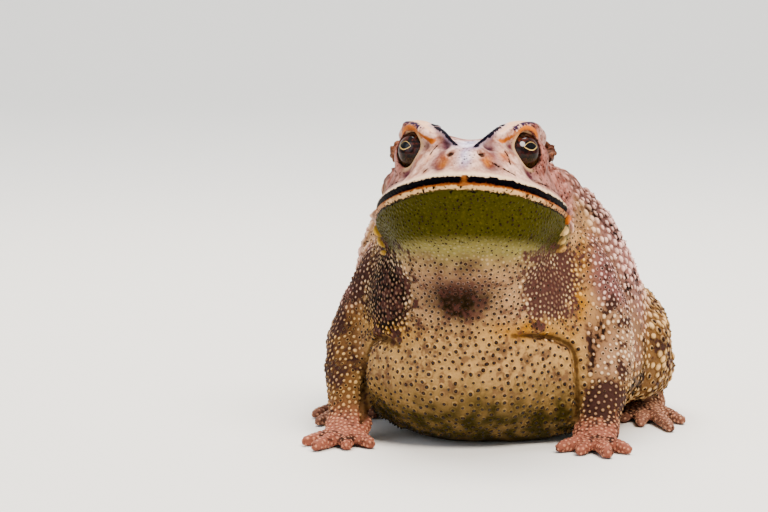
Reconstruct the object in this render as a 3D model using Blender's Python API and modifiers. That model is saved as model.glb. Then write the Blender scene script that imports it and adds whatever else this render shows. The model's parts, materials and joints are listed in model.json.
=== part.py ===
"""Asian common toad, life size, sitting upright: one closed solid for each named part of the body.

The toad faces -Y, its left side is +X, and it sits on the plane z = 0 with its belly over the origin.
Sizes are hundredths of the snout-vent length, which are millimetres at the size modelled here.
"""

import math
import random

import bmesh
import bpy
from mathutils import Euler, Matrix, Vector
from mathutils.bvhtree import BVHTree

SNOUT_VENT = 0.100
UNIT = SNOUT_VENT / 100
GAP = 0.0003
FIT_GAP = 0.0004
LEFT = 1
RIGHT = -1
SIDES = {"l": LEFT, "r": RIGHT}
FAR = 3.0 * SNOUT_VENT

# The head is turned to the toad's left and the snout is raised.
HEAD_BASE = (0.5, -10.0, 47.2)
HEAD_YAW = 3.5
HEAD_PITCH = 14.0
NECK_POINT = (0.0, -6.0, 44.0)
NECK_NORMAL = (0.0, -0.774, 0.634)
THROAT_POINT = (0.0, -28.0, 39.5)
THROAT_NORMAL = (0.0, -0.10, 0.995)

# Trunk stations from neck to vent: dorsal (y, z), ventral (y, z), half width, widest point, roundness.
# The trunk swings to the toad's left by this share of its length behind the neck.
TRUNK_SWING = 0.07
TRUNK_SWING_FROM = -8.0
TRUNK = (
    (-3.0, 57.0, -24.0, 44.0, 15.5, 0.55, 2.2),
    (5.0, 57.0, -20.0, 37.0, 17.8, 0.58, 2.2),
    (12.5, 54.5, -19.5, 28.0, 21.0, 0.60, 2.2),
    (19.5, 51.0, -21.5, 18.0, 25.5, 0.60, 2.2),
    (26.5, 46.5, -21.0, 7.0, 28.5, 0.55, 2.3),
    (33.5, 41.0, -13.0, -0.4, 30.5, 0.48, 2.3),
    (40.5, 34.5, 4.0, -0.6, 31.0, 0.45, 2.4),
    (46.5, 27.5, 22.0, -0.6, 29.0, 0.45, 2.3),
    (51.5, 20.0, 38.0, -0.4, 23.5, 0.50, 2.2),
    (55.0, 13.5, 48.5, 1.5, 14.5, 0.50, 2.1),
    (56.5, 10.0, 53.0, 5.0, 7.0, 0.50, 2.0),
)
TRUNK_RING = 36
BELLY_POUCH = ((0.0, -9.5, 14.6), (20.8, 18.6, 15.0))
CHEST = ((0.0, -9.0, 27.0), (20.3, 18.9, 20.5))
CHEST_BRIDGE = ((0.0, -9.8, 21.0), (15.5, 19.0, 10.0))

# Head stations, in the head's own axes: forward, crown, ridge (out, up), lip (out, up), jaw (out, up)
# and throat.
HEAD = (
    (-16.0, 11.0, 11.5, 9.0, 17.6, -3.4, 15.5, -11.5, 19.0),
    (-8.0, 12.0, 12.0, 10.6, 18.7, -3.0, 16.6, -10.5, 18.0),
    (0.0, 12.0, 11.5, 11.6, 18.8, -2.6, 16.8, -9.0, 16.5),
    (7.0, 11.5, 10.2, 12.0, 18.2, -2.1, 16.2, -7.6, 14.0),
    (13.0, 10.4, 8.6, 11.2, 16.7, -1.6, 14.6, -6.2, 11.0),
    (18.0, 8.9, 6.6, 9.5, 14.5, -1.2, 12.2, -5.0, 8.4),
    (22.2, 7.6, 4.4, 7.7, 11.9, -0.8, 9.4, -4.0, 6.2),
    (25.4, 5.9, 3.2, 5.8, 8.6, -0.4, 6.6, -3.0, 4.4),
    (27.2, 3.6, 2.2, 3.4, 5.2, -0.1, 3.8, -1.9, 2.6),
    (28.0, 1.4, 1.0, 1.2, 1.6, 0.0, 1.2, -0.8, 1.0),
)
HEAD_RING_STEPS = 4
LOFT_STEPS = 3
THROAT = ((0.0, 9.5, -5.6), (16.4, 15.0, 8.8))
BROW = ((10.0, 9.6, 8.0), (5.3, 6.4, 5.6))
MOUTH_LINE = ((34.0, 0.1), (28.0, 0.0), (23.0, -0.7), (17.0, -1.3), (8.0, -2.0), (0.0, -2.7), (-20.0, -4.4))

# The eye looks forward and outward through a round gap between its lids.
EYE_CENTRE = (9.6, 12.0, 8.3)
EYE_RADIUS = 4.7
EYE_GAZE = (0.75, 0.65, 0.08)
EYE_OPENING = 3.4
OPENING_LENGTH = 2.5 * EYE_RADIUS
TYMPANUM_CENTRE = (16.5, 1.5, 4.4)
TYMPANUM_RADII = (2.6, 2.4)
TYMPANUM_OUT = (0.96, -0.10, 0.26)
TYMPANUM_SUNK = 1.2
TYMPANUM_THICKNESS = 0.9
RECESS_LENGTH = 6.0
NOSTRIL = (3.1, 25.7, 5.0)
NOSTRIL_WAY = (0.7, 0.6, 0.4)
NOSTRIL_DEPTH = 1.4
NOSTRIL_LENGTH = 3.2
NOSTRIL_RADII = (0.3, 1.05)

# Raised lines on the head: (out, forward, up, radius) along each.
UPPER_LID = (
    (6.2, 17.6, 9.5, 1.5),
    (9.2, 15.6, 11.9, 1.8),
    (12.2, 12.0, 13.0, 1.8),
    (13.5, 8.0, 12.9, 1.5),
    (13.3, 4.0, 11.6, 1.0),
)
LOWER_LID = ((9.2, 16.8, 6.2, 0.6), (12.0, 15.2, 4.7, 0.8), (14.4, 11.8, 5.2, 0.7))
LID_STEPS = 2
CREST_SUNK = 0.35
CRESTS = (
    ((7.4, 16.4, 11.6, 0.8), (4.8, 19.2, 10.0, 0.8), (2.6, 22.0, 8.1, 0.7), (2.0, 24.4, 6.6, 0.5)),
    ((7.2, 15.8, 11.8, 0.8), (6.8, 10.0, 12.8, 0.9), (7.6, 4.0, 13.1, 0.9), (9.0, 0.0, 12.6, 0.8)),
    ((9.2, -0.2, 12.4, 0.8), (12.6, -0.6, 11.4, 0.8), (15.4, 0.4, 9.6, 0.7)),
    ((7.6, 18.0, 9.2, 0.6), (9.6, 18.2, 6.6, 0.6), (11.6, 17.4, 4.0, 0.5)),
)
RIDGE_SIDES = 6

# Each lip is a roll (rise above the mouth line, radius) that follows the skin round the snout.
UPPER_LIP = (0.95, 1.05)
LOWER_LIP = (-0.85, 0.85)
LIP_SUNK = 0.45
LIP_MIDDLE = 4.0
LIP_REACH = 102.0
LIP_SPANS = 10

PAROTOID_CENTRE = (16.0, 6.5, 49.0)
PAROTOID_RADII = (4.8, 11.5, 3.9)
PAROTOID_TURN = (-14.0, 40.0, -13.0)

# Limbs: (out, y, z, radius across, radius in thickness) along each.
UPPER_ARM = {
    "l": ((14.5, -2.5, 38.5, 7.2, 7.6), (19.4, -3.0, 31.0, 7.8, 8.2), (23.8, -1.8, 21.8, 6.8, 7.0)),
    "r": ((13.0, -2.5, 38.0, 7.0, 7.6), (17.4, -3.0, 31.0, 7.4, 8.0), (23.4, -1.8, 21.8, 6.6, 7.0)),
}
FOREARM = ((24.8, -1.8, 20.5, 6.0, 6.2), (25.6, -7.0, 14.0, 5.5, 6.0), (25.2, -13.0, 6.5, 4.3, 4.4))
PALM = ((25.2, -13.2, 5.6, 4.0, 3.6), (25.0, -16.6, 3.2, 4.6, 2.7), (24.8, -19.6, 2.2, 4.3, 1.9))
FINGER_ROOT = (24.8, -18.4, 1.9)
FINGERS = ((-48.0, 9.0), (-16.0, 9.5), (13.0, 12.5), (44.0, 9.5))
FINGER_RADII = (1.75, 1.45, 1.35, 1.05)
THIGH = ((17.0, 42.0, 15.6, 9.6, 11.0), (24.6, 30.0, 16.6, 10.0, 11.0), (28.2, 16.5, 15.0, 7.4, 8.6))
SHANK = ((28.4, 15.0, 11.0, 5.6, 6.0), (29.8, 28.0, 10.4, 6.2, 6.4), (26.5, 42.0, 8.6, 4.4, 4.8))
TARSUS = ((26.2, 43.5, 4.4, 4.0, 4.0), (29.0, 34.0, 3.0, 4.1, 2.9), (29.8, 25.0, 2.4, 4.8, 2.4))
TOE_ROOT = (29.6, 26.0, 2.2)
TOES = ((-42.0, 9.5), (-21.0, 13.0), (-4.0, 17.5), (11.0, 24.0), (29.0, 15.5))
TOE_RADII = (1.7, 1.4, 1.25, 0.95)
TIP_REST = 0.8
WEB_SHARE = 0.52
WEB_HOLLOW = 0.86
WEB_THICKNESS = 1.1

# How finely round pieces are divided: sides and rings.
SOFT_BALL = (32, 20)
SMALL_BALL = (16, 10)
ROUND_SIDES = 16
NOSTRIL_SIDES = 8
THIGH_SIDES = 14
LIMB_SIDES = 12
LIMB_STEPS = 3
UPPER_LIMB_STEPS = 2
DIGIT_SIDES = 8
DIGIT_STEPS = 2
END_OPEN = 0.6
FOOT_CLEARANCE = 0.1

# How each side differs: arm and leg moved outward and backward, hand and foot turned outward.
ARM_SHIFT = {"l": (1.0, 0.8), "r": (-1.2, 0.0)}
LEG_SHIFT = {"l": (2.4, 1.0), "r": (-2.0, -2.0)}
HAND_TURN = {"l": 4.0, "r": 8.0}
FOOT_TURN = {"l": 7.0, "r": 2.0}

# Surface fineness of the soft pieces: voxel size, rounds of smoothing, triangles.
CORE_FLESH = (0.8, 10, 3500)
HAND_FLESH = (0.42, 3, 420)
FOOT_FLESH = (0.42, 2, 560)

WART_SEED = 11
ROW_WART_RADIUS = 2.4
ROW_ANGLE = 24.0
ROW_STATIONS = (0.20, 0.30, 0.40, 0.50, 0.60, 0.70, 0.79)
LOOSE_WART_RADII = (1.0, 1.7)
LOOSE_WARTS = {"torso": 34, "upper_arm": 3, "forearm": 2, "thigh": 5, "shank": 2}
WART_TRIES = 40
WART_HEIGHT = 0.6
LOWEST_NORMAL = -0.2
FOREMOST_NORMAL = -0.3
WART_SUNK = 0.1
WART_FLOOR_GAP = 3.0
WART_NEIGHBOUR_GAP = 1.5

# The chain of small glands that runs down behind each corner of the mouth: (out, y, z, radius).
JAW_BEADS = ((19.3, -12.5, 39.0, 1.5), (19.0, -13.2, 36.0, 1.3), (18.4, -14.6, 33.4, 1.3))

SHARP_ANGLE = 50.0
SKIN_ROUGHNESS = 0.6
EYE_ROUGHNESS = 0.1
COLOURS = {
    "back": (0.33, 0.21, 0.17, 1.0),
    "throat": (0.42, 0.38, 0.16, 1.0),
    "limb": (0.40, 0.28, 0.19, 1.0),
    "gland": (0.42, 0.27, 0.20, 1.0),
    "eardrum": (0.36, 0.20, 0.11, 1.0),
    "eye": (0.03, 0.018, 0.012, 1.0),
}


def clear_scene():
    for old in list(bpy.data.objects):
        bpy.data.objects.remove(old, do_unlink=True)


def material(name, colour, roughness):
    made = bpy.data.materials.new(name)
    made.use_nodes = True
    shader = made.node_tree.nodes["Principled BSDF"]
    shader.inputs["Base Color"].default_value = colour
    shader.inputs["Roughness"].default_value = roughness
    shader.inputs["Metallic"].default_value = 0.0
    return made


def body_point(x, y, z):
    return Vector((x, y, z)) * UNIT


def head_matrix():
    turn = Matrix.Rotation(math.radians(HEAD_YAW), 4, "Z")
    raise_snout = Matrix.Rotation(-math.radians(HEAD_PITCH), 4, "X")
    return Matrix.Translation(body_point(*HEAD_BASE)) @ turn @ raise_snout


def head_point(out, forward, up):
    return head_matrix() @ (Vector((out, -forward, up)) * UNIT)


def head_placed(out, forward, up):
    """The place and turn of a piece that is set in the head's axes."""
    return head_matrix() @ Matrix.Translation(Vector((out, -forward, up)) * UNIT)


def head_direction(out, forward, up):
    return (head_matrix().to_3x3() @ Vector((out, -forward, up))).normalized()


def object_from(name, bm):
    bmesh.ops.recalc_face_normals(bm, faces=bm.faces)
    mesh = bpy.data.meshes.new(name)
    bm.to_mesh(mesh)
    bm.free()
    made = bpy.data.objects.new(name, mesh)
    bpy.context.scene.collection.objects.link(made)
    return made


def blended(t, before, a, b, after):
    """The value a share t of the way from a to b, on a smooth curve through all four."""
    bend = 2 * before - 5 * a + 4 * b - after
    twist = 3 * a - before - 3 * b + after
    return 0.5 * (2 * a + (b - before) * t + bend * t**2 + twist * t**3)


def through(stations, steps):
    """Station tuples on a smooth curve through the given ones, with steps spans between neighbours."""
    found = []
    last = len(stations) - 1
    for i in range(last):
        before, a, b, after = (stations[max(0, min(last, k))] for k in (i - 1, i, i + 1, i + 2))
        for step in range(steps):
            t = step / steps
            found.append(
                tuple(blended(t, p, q, r, s) for p, q, r, s in zip(before, a, b, after))
            )
    found.append(tuple(stations[-1]))
    return found


def loft(name, rings):
    """A closed surface through rings of points, closed at each end by a fan to the ring's middle."""
    bm = bmesh.new()
    rows = [[bm.verts.new(point) for point in ring] for ring in rings]
    count = len(rows[0])
    for near, far in zip(rows, rows[1:]):
        for i in range(count):
            j = (i + 1) % count
            bm.faces.new((near[i], near[j], far[j], far[i]))
    for row in (rows[0], rows[-1]):
        middle = bm.verts.new(sum((v.co for v in row), Vector()) / count)
        for i in range(count):
            bm.faces.new((row[i], row[(i + 1) % count], middle))
    return object_from(name, bm)


def tube(name, stations, sides, steps, end_steps=2):
    """A tapered tube with round ends through (point, radius across, radius in thickness) stations."""
    flat = [(*point, across, thick) for point, across, thick in stations]
    smooth = through(flat, steps)
    points = [Vector(s[:3]) for s in smooth]
    rings = []
    for i, station in enumerate(smooth):
        along = (points[min(i + 1, len(points) - 1)] - points[max(i - 1, 0)]).normalized()
        across = along.cross(Vector((0.0, 0.0, 1.0)))
        if across.length < 0.2:
            across = along.cross(Vector((0.0, 1.0, 0.0)))
        across.normalize()
        thick = across.cross(along).normalized()
        rings.append((points[i], along, across * station[3], thick * station[4]))

    def ring(centre, across, thick, share):
        turns = (2 * math.pi * k / sides for k in range(sides))
        return [centre + share * (across * math.cos(a) + thick * math.sin(a)) for a in turns]

    rows = []
    first, last = rings[0], rings[-1]
    for k in range(end_steps, 0, -1):
        angle = math.pi / 2 * k / (end_steps + END_OPEN)
        reach = min(first[2].length, first[3].length) * math.sin(angle)
        rows.append(ring(first[0] - first[1] * reach, first[2], first[3], math.cos(angle)))
    rows += [ring(centre, across, thick, 1.0) for centre, _, across, thick in rings]
    for k in range(1, end_steps + 1):
        angle = math.pi / 2 * k / (end_steps + END_OPEN)
        reach = min(last[2].length, last[3].length) * math.sin(angle)
        rows.append(ring(last[0] + last[1] * reach, last[2], last[3], math.cos(angle)))
    return loft(name, rows)


def ellipsoid(name, matrix, radii, fineness):
    bm = bmesh.new()
    bmesh.ops.create_uvsphere(bm, u_segments=fineness[0], v_segments=fineness[1], radius=1.0)
    size = Matrix.Diagonal((*(Vector(radii) * UNIT), 1.0))
    bmesh.ops.transform(bm, matrix=matrix @ size, verts=bm.verts)
    return object_from(name, bm)


def half_space(name, point, normal, offset):
    """A block that fills the side of a plane that its normal points to, starting offset beyond it."""
    bm = bmesh.new()
    bmesh.ops.create_cube(bm, size=FAR)
    turn = Vector(normal).to_track_quat("Z", "Y").to_matrix().to_4x4()
    centre = point + Vector(normal).normalized() * (FAR / 2 + offset)
    bmesh.ops.transform(bm, matrix=Matrix.Translation(centre) @ turn, verts=bm.verts)
    return object_from(name, bm)


def apply_modifiers(obj):
    graph = bpy.context.evaluated_depsgraph_get()
    mesh = bpy.data.meshes.new_from_object(obj.evaluated_get(graph))
    old = obj.data
    obj.modifiers.clear()
    obj.data = mesh
    bpy.data.meshes.remove(old)


def keep_largest(obj):
    """Leaves only the closed surface that holds most volume."""
    bm = bmesh.new()
    bm.from_mesh(obj.data)
    left = set(bm.verts)
    shells = []
    while left:
        shell = set()
        stack = [left.pop()]
        while stack:
            vert = stack.pop()
            shell.add(vert)
            for edge in vert.link_edges:
                other = edge.other_vert(vert)
                if other in left:
                    left.discard(other)
                    stack.append(other)
        shells.append(shell)

    def volume(shell):
        faces = {face for vert in shell for face in vert.link_faces}
        middle = sum((v.co for v in shell), Vector()) / len(shell)
        return abs(sum(f.calc_area() * f.normal.dot(f.calc_center_median() - middle) for f in faces))

    if len(shells) > 1:
        shells.sort(key=volume, reverse=True)
        dropped = [vert for shell in shells[1:] for vert in shell]
        bmesh.ops.delete(bm, geom=dropped, context="VERTS")
    bm.to_mesh(obj.data)
    bm.free()


def combine(obj, others, operation, solver="EXACT"):
    """Joins others to obj, or cuts them from it, then removes them."""
    group = bpy.data.collections.new("operands")
    bpy.context.scene.collection.children.link(group)
    for other in others:
        group.objects.link(other)
    modifier = obj.modifiers.new("combine", "BOOLEAN")
    modifier.operation = operation
    modifier.operand_type = "COLLECTION"
    modifier.collection = group
    modifier.solver = solver
    apply_modifiers(obj)
    for other in others:
        bpy.data.objects.remove(other, do_unlink=True)
    bpy.data.collections.remove(group)
    keep_largest(obj)


def copy_of(obj, name):
    made = bpy.data.objects.new(name, obj.data.copy())
    bpy.context.scene.collection.objects.link(made)
    return made


def grown(obj, distance):
    """A copy of a solid with its surface moved out by a distance."""
    made = copy_of(obj, obj.name + "_grown")
    swell = made.modifiers.new("swell", "DISPLACE")
    swell.direction = "NORMAL"
    swell.mid_level = 0.0
    swell.strength = distance
    apply_modifiers(made)
    return made


def fit_clear_of(obj, *neighbours):
    """Cuts obj back so that it meets each neighbour face to face across the gap."""
    for neighbour in neighbours:
        combine(obj, [grown(neighbour, FIT_GAP)], "DIFFERENCE", "MANIFOLD")


def flesh(name, pieces, voxel, smoothing, triangles):
    """One soft surface over overlapping pieces, with about the given number of triangles."""
    bm = bmesh.new()
    for piece in pieces:
        bm.from_mesh(piece.data)
        bpy.data.objects.remove(piece, do_unlink=True)
    mesh = bpy.data.meshes.new(name)
    bm.to_mesh(mesh)
    bm.free()
    made = bpy.data.objects.new(name, mesh)
    bpy.context.scene.collection.objects.link(made)
    remesh = made.modifiers.new("remesh", "REMESH")
    remesh.mode = "VOXEL"
    remesh.voxel_size = voxel * UNIT
    relax = made.modifiers.new("relax", "SMOOTH")
    relax.factor = 0.5
    relax.iterations = smoothing
    apply_modifiers(made)
    made.data.calc_loop_triangles()
    thin = made.modifiers.new("thin", "DECIMATE")
    thin.ratio = triangles / len(made.data.loop_triangles)
    thin.use_collapse_triangulate = True
    apply_modifiers(made)
    return made


def trunk_frame(station):
    """Middle, way up to the back, and half widths of one trunk section."""
    dorsal_y, dorsal_z, ventral_y, ventral_z, half_width, widest, power = station
    swing = TRUNK_SWING * (max(dorsal_y, ventral_y) - TRUNK_SWING_FROM)
    dorsal = body_point(swing, dorsal_y, dorsal_z)
    ventral = body_point(swing, ventral_y, ventral_z)
    middle = ventral.lerp(dorsal, widest)
    return middle, dorsal - middle, middle - ventral, half_width * UNIT, power


def trunk_ring(station):
    middle, to_back, to_belly, half_width, power = trunk_frame(station)
    ring = []
    for k in range(TRUNK_RING):
        angle = 2 * math.pi * k / TRUNK_RING
        side = math.copysign(abs(math.cos(angle)) ** (2 / power), math.cos(angle))
        rise = math.copysign(abs(math.sin(angle)) ** (2 / power), math.sin(angle))
        along = to_back if rise > 0 else to_belly
        ring.append(middle + Vector((side * half_width, 0.0, 0.0)) + along * rise)
    return ring


def head_ring(station):
    """A section of the head: a smooth closed curve through its crown, ridges, lips, jaws and throat."""
    forward, crown, ridge_out, ridge_up, lip_out, lip_up, jaw_out, jaw_up, throat = station
    half = ((ridge_out, ridge_up), (lip_out, lip_up), (jaw_out, jaw_up))
    loop = [(0.0, crown), *half, (0.0, -throat), *((-out, up) for out, up in reversed(half))]
    steps = HEAD_RING_STEPS
    closed = through([loop[-1], *loop, loop[0], loop[1]], steps)[steps:-steps]
    return [head_point(out, forward, up) for out, up in closed[:-1]]


def body_core():
    """Head, trunk and belly as one soft surface."""
    pieces = [
        loft("trunk", [trunk_ring(s) for s in through(TRUNK, LOFT_STEPS)]),
        loft("skull", [head_ring(s) for s in through(HEAD, LOFT_STEPS)]),
    ]
    for centre, radii in (BELLY_POUCH, CHEST, CHEST_BRIDGE):
        pieces.append(ellipsoid("front", Matrix.Translation(body_point(*centre)), radii, SOFT_BALL))
    centre, radii = THROAT
    pieces.append(ellipsoid("throat", head_placed(*centre), radii, SOFT_BALL))
    (out, forward, up), radii = BROW
    for side in SIDES.values():
        pieces.append(ellipsoid("brow", head_placed(side * out, forward, up), radii, SOFT_BALL))
    return flesh("core", pieces, *CORE_FLESH)


def beyond_mouth(name, side):
    """A block that fills one side of the line of the mouth: above it with side 1, below it with side -1."""
    wide = FAR / UNIT / 3
    rows = []
    for forward, up in through(MOUTH_LINE, LOFT_STEPS):
        near = up - side * GAP / UNIT / 2
        rows.append(
            [
                head_point(-wide, forward, near),
                head_point(wide, forward, near),
                head_point(wide, forward, side * wide),
                head_point(-wide, forward, side * wide),
            ]
        )
    return loft(name, rows)


def mouth_height(forward):
    """Height of the line of the mouth, in the head's axes."""
    for (front, high), (back, low) in zip(MOUTH_LINE, MOUTH_LINE[1:]):
        if forward >= back:
            return low + (high - low) * (forward - back) / (front - back)
    return MOUTH_LINE[-1][1]


def lip_roll(name, skin, rise, radius):
    """The roll of a lip, which follows the skin from one corner of the mouth round the snout to the other."""
    points = []
    for k in range(-LIP_SPANS, LIP_SPANS + 1):
        angle = math.radians(LIP_REACH * k / LIP_SPANS)
        forward = HEAD[-1][0] * math.cos(angle)
        for _ in range(3):
            up = mouth_height(forward) + rise
            middle = head_point(0.0, LIP_MIDDLE, up)
            way = head_direction(math.sin(angle), math.cos(angle), 0.0)
            place = skin.ray_cast(middle, way)[0]
            forward = -(head_matrix().inverted() @ place).y / UNIT
        points.append((place - way * LIP_SUNK * radius * UNIT, radius * UNIT, radius * UNIT))
    return tube(name, points, RIDGE_SIDES, 1, 1)


def eye_place(side):
    out, forward, up = EYE_CENTRE
    return head_point(side * out, forward, up)


def gaze(side):
    out, forward, up = EYE_GAZE
    return head_direction(side * out, forward, up)


def aimed(point, direction):
    return Matrix.Translation(point) @ direction.to_track_quat("Z", "Y").to_matrix().to_4x4()


def cone(name, matrix, radii, length, sides):
    """A straight or tapered plug that starts at the matrix and runs along its z axis."""
    bm = bmesh.new()
    bmesh.ops.create_cone(
        bm, cap_ends=True, segments=sides, radius1=radii[0], radius2=radii[1], depth=length
    )
    bmesh.ops.translate(bm, vec=(0.0, 0.0, length / 2), verts=bm.verts)
    bmesh.ops.transform(bm, matrix=matrix @ Matrix.Scale(UNIT, 4), verts=bm.verts)
    return object_from(name, bm)


def before_neck(offset):
    """A block that fills the space of the head and throat, its two faces moved by an offset."""
    block = half_space("before_neck", body_point(*NECK_POINT), NECK_NORMAL, offset)
    below = half_space("below_throat", body_point(*THROAT_POINT), -Vector(THROAT_NORMAL), -offset)
    combine(block, [below], "DIFFERENCE")
    return block


def make_trunk_and_head():
    """Parts the soft core into torso, head and lower jaw."""
    core = body_core()
    torso = copy_of(core, "torso")
    combine(torso, [before_neck(-GAP / 2)], "DIFFERENCE")
    combine(core, [before_neck(GAP / 2)], "INTERSECT")
    head = copy_of(core, "head")
    jaw = copy_of(core, "lower_jaw")
    skin = surface_of(core)
    bpy.data.objects.remove(core, do_unlink=True)
    combine(head, [lip_roll("upper_lip", skin, *UPPER_LIP)], "UNION")
    combine(jaw, [lip_roll("lower_lip", skin, *LOWER_LIP)], "UNION")
    combine(head, [beyond_mouth("below_mouth", -1)], "DIFFERENCE")
    combine(jaw, [beyond_mouth("above_mouth", 1)], "DIFFERENCE")
    return torso, head, jaw


def lid_fold(name, stations, side):
    points = []
    for out, forward, up, radius in stations:
        points.append((head_point(side * out, forward, up), radius * UNIT, radius * UNIT))
    return tube(name, points, RIDGE_SIDES, LID_STEPS, 1)


def crest_ridge(name, stations, side, skin):
    """A bony ridge that runs along the skin, part sunk."""
    points = []
    for out, forward, up, radius in stations:
        place, normal, _, _ = skin.find_nearest(head_point(side * out, forward, up))
        points.append((place - normal * CREST_SUNK * radius * UNIT, radius * UNIT, radius * UNIT))
    return tube(name, points, RIDGE_SIDES, 2, 1)


def add_lids_and_crests(head):
    skin = surface_of(head)
    lines = []
    for side in SIDES.values():
        lines.append(lid_fold("upper_lid", UPPER_LID, side))
        lines.append(lid_fold("lower_lid", LOWER_LID, side))
        lines += [crest_ridge(f"crest_{n}", stations, side, skin) for n, stations in enumerate(CRESTS)]
    combine(head, lines, "UNION", "MANIFOLD")


def make_eyes(head):
    """Round eyes in sockets, each seen through the gap between its lids."""
    eyes = []
    for label, side in SIDES.items():
        aim = aimed(eye_place(side), gaze(side))
        socket = ellipsoid("socket", aim, (EYE_RADIUS + GAP / UNIT,) * 3, SMALL_BALL)
        opening = cone("opening", aim, (EYE_OPENING, EYE_OPENING), OPENING_LENGTH, ROUND_SIDES)
        combine(head, [socket, opening], "DIFFERENCE", "MANIFOLD")
        eyes.append(ellipsoid(f"eye_{label}", aim, (EYE_RADIUS,) * 3, SMALL_BALL))
    return eyes


def make_eardrums(head):
    """A flat disc behind each eye, set in its own shallow recess."""
    drums = []
    out, forward, up = TYMPANUM_CENTRE
    for label, side in SIDES.items():
        direction = head_direction(side * TYMPANUM_OUT[0], *TYMPANUM_OUT[1:])
        base = aimed(head_point(side * out, forward, up) - direction * TYMPANUM_SUNK * UNIT, direction)
        wide = TYMPANUM_RADII[0] + GAP / UNIT
        recess = cone("recess", base, (wide, wide), RECESS_LENGTH, ROUND_SIDES)
        combine(head, [recess], "DIFFERENCE", "MANIFOLD")
        lifted = base @ Matrix.Translation((0.0, 0.0, GAP))
        drums.append(
            cone(f"tympanum_{label}", lifted, TYMPANUM_RADII, TYMPANUM_THICKNESS, ROUND_SIDES)
        )
    return drums


def cut_nostrils(head):
    out, forward, up = NOSTRIL
    for side in SIDES.values():
        direction = head_direction(side * NOSTRIL_WAY[0], *NOSTRIL_WAY[1:])
        bottom = head_point(side * out, forward, up) - direction * NOSTRIL_DEPTH * UNIT
        place = aimed(bottom, direction)
        hole = cone("nostril", place, NOSTRIL_RADII, NOSTRIL_LENGTH, NOSTRIL_SIDES)
        combine(head, [hole], "DIFFERENCE", "MANIFOLD")


def cut_at_floor(obj):
    combine(obj, [half_space("floor", Vector((0.0, 0.0, 0.0)), (0.0, 0.0, -1.0), 0.0)], "DIFFERENCE")


def make_parotoids(torso, head):
    """The long swollen gland on each side of the neck, behind the eardrum."""
    glands = []
    out, y, z = PAROTOID_CENTRE
    for label, side in SIDES.items():
        pitch, roll, yaw = (math.radians(angle) for angle in PAROTOID_TURN)
        turn = Euler((pitch, side * roll, side * yaw)).to_matrix().to_4x4()
        placed = Matrix.Translation(body_point(side * out, y, z)) @ turn
        gland = ellipsoid(f"parotoid_{label}", placed, PAROTOID_RADII, SMALL_BALL)
        fit_clear_of(gland, head)
        fit_clear_of(torso, gland)
        glands.append(gland)
    return glands


def limb_part(name, table, side, shift, sides, steps=LIMB_STEPS):
    """One length of a limb, from its table of stations."""
    stations = []
    for out, y, z, across, thick in table:
        place = body_point(side * (out + shift[0]), y + shift[1], z)
        stations.append((place, across * UNIT, thick * UNIT))
    return tube(name, stations, sides, steps)


def digits(root, lengths, radii, turn, side, shift):
    """Tapered fingers or toes that fan out from one place, and the ends of the web between them."""
    pieces = []
    base = Vector(root) + Vector((shift[0], shift[1], 0.0))
    ends = []
    for number, (angle, length) in enumerate(lengths):
        heading = math.radians(angle + turn)
        way = Vector((math.sin(heading), -math.cos(heading), 0.0))
        stations = []
        for step, radius in enumerate(radii):
            share = step / (len(radii) - 1)
            height = root[2] + (radii[-1] * TIP_REST - root[2]) * share
            spot = base + way * length * share
            stations.append((body_point(side * spot.x, spot.y, height), radius * UNIT, radius * UNIT))
        pieces.append(tube(f"digit_{number}", stations, DIGIT_SIDES, DIGIT_STEPS))
        ends.append(base + way * length * WEB_SHARE)
    return pieces, base, ends


def web(base, ends, side):
    """The thin skin between the toes, hollowed between each two."""
    rim = [base]
    for near, far in zip(ends, ends[1:]):
        middle = (near + far) / 2
        rim += [near, base.lerp(middle, WEB_HOLLOW)]
    rim.append(ends[-1])
    rings = []
    for height in (FOOT_CLEARANCE, FOOT_CLEARANCE + WEB_THICKNESS):
        rings.append([body_point(side * spot.x, spot.y, height) for spot in rim])
    return loft("web", rings)


def make_arms(torso, beside):
    parts = []
    for label, side in SIDES.items():
        shift = ARM_SHIFT[label]
        upper_name = f"upper_arm_{label}"
        upper = limb_part(upper_name, UPPER_ARM[label], side, shift, LIMB_SIDES, UPPER_LIMB_STEPS)
        lower = limb_part(f"forearm_{label}", FOREARM, side, shift, LIMB_SIDES)
        palm = limb_part("palm", PALM, side, shift, LIMB_SIDES)
        fingers, _, _ = digits(FINGER_ROOT, FINGERS, FINGER_RADII, HAND_TURN[label], side, shift)
        hand = flesh(f"hand_{label}", [palm, *fingers], *HAND_FLESH)
        cut_at_floor(hand)
        fit_clear_of(hand, lower, torso)
        fit_clear_of(lower, upper, torso)
        fit_clear_of(upper, *beside)
        fit_clear_of(torso, upper)
        parts += [upper, lower, hand]
    return parts


def make_legs(torso):
    parts = []
    for label, side in SIDES.items():
        shift = LEG_SHIFT[label]
        thigh = limb_part(f"thigh_{label}", THIGH, side, shift, THIGH_SIDES, UPPER_LIMB_STEPS)
        shank = limb_part(f"shank_{label}", SHANK, side, shift, LIMB_SIDES)
        tarsus = limb_part("tarsus", TARSUS, side, shift, LIMB_SIDES)
        toes, base, ends = digits(TOE_ROOT, TOES, TOE_RADII, FOOT_TURN[label], side, shift)
        foot = flesh(f"foot_{label}", [tarsus, *toes, web(base, ends, side)], *FOOT_FLESH)
        cut_at_floor(foot)
        fit_clear_of(foot, shank, thigh, torso)
        fit_clear_of(shank, thigh, torso)
        fit_clear_of(torso, thigh)
        parts += [thigh, shank, foot]
    return parts


def surface_of(obj):
    return BVHTree.FromPolygons([v.co for v in obj.data.vertices], [p.vertices for p in obj.data.polygons])


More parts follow.
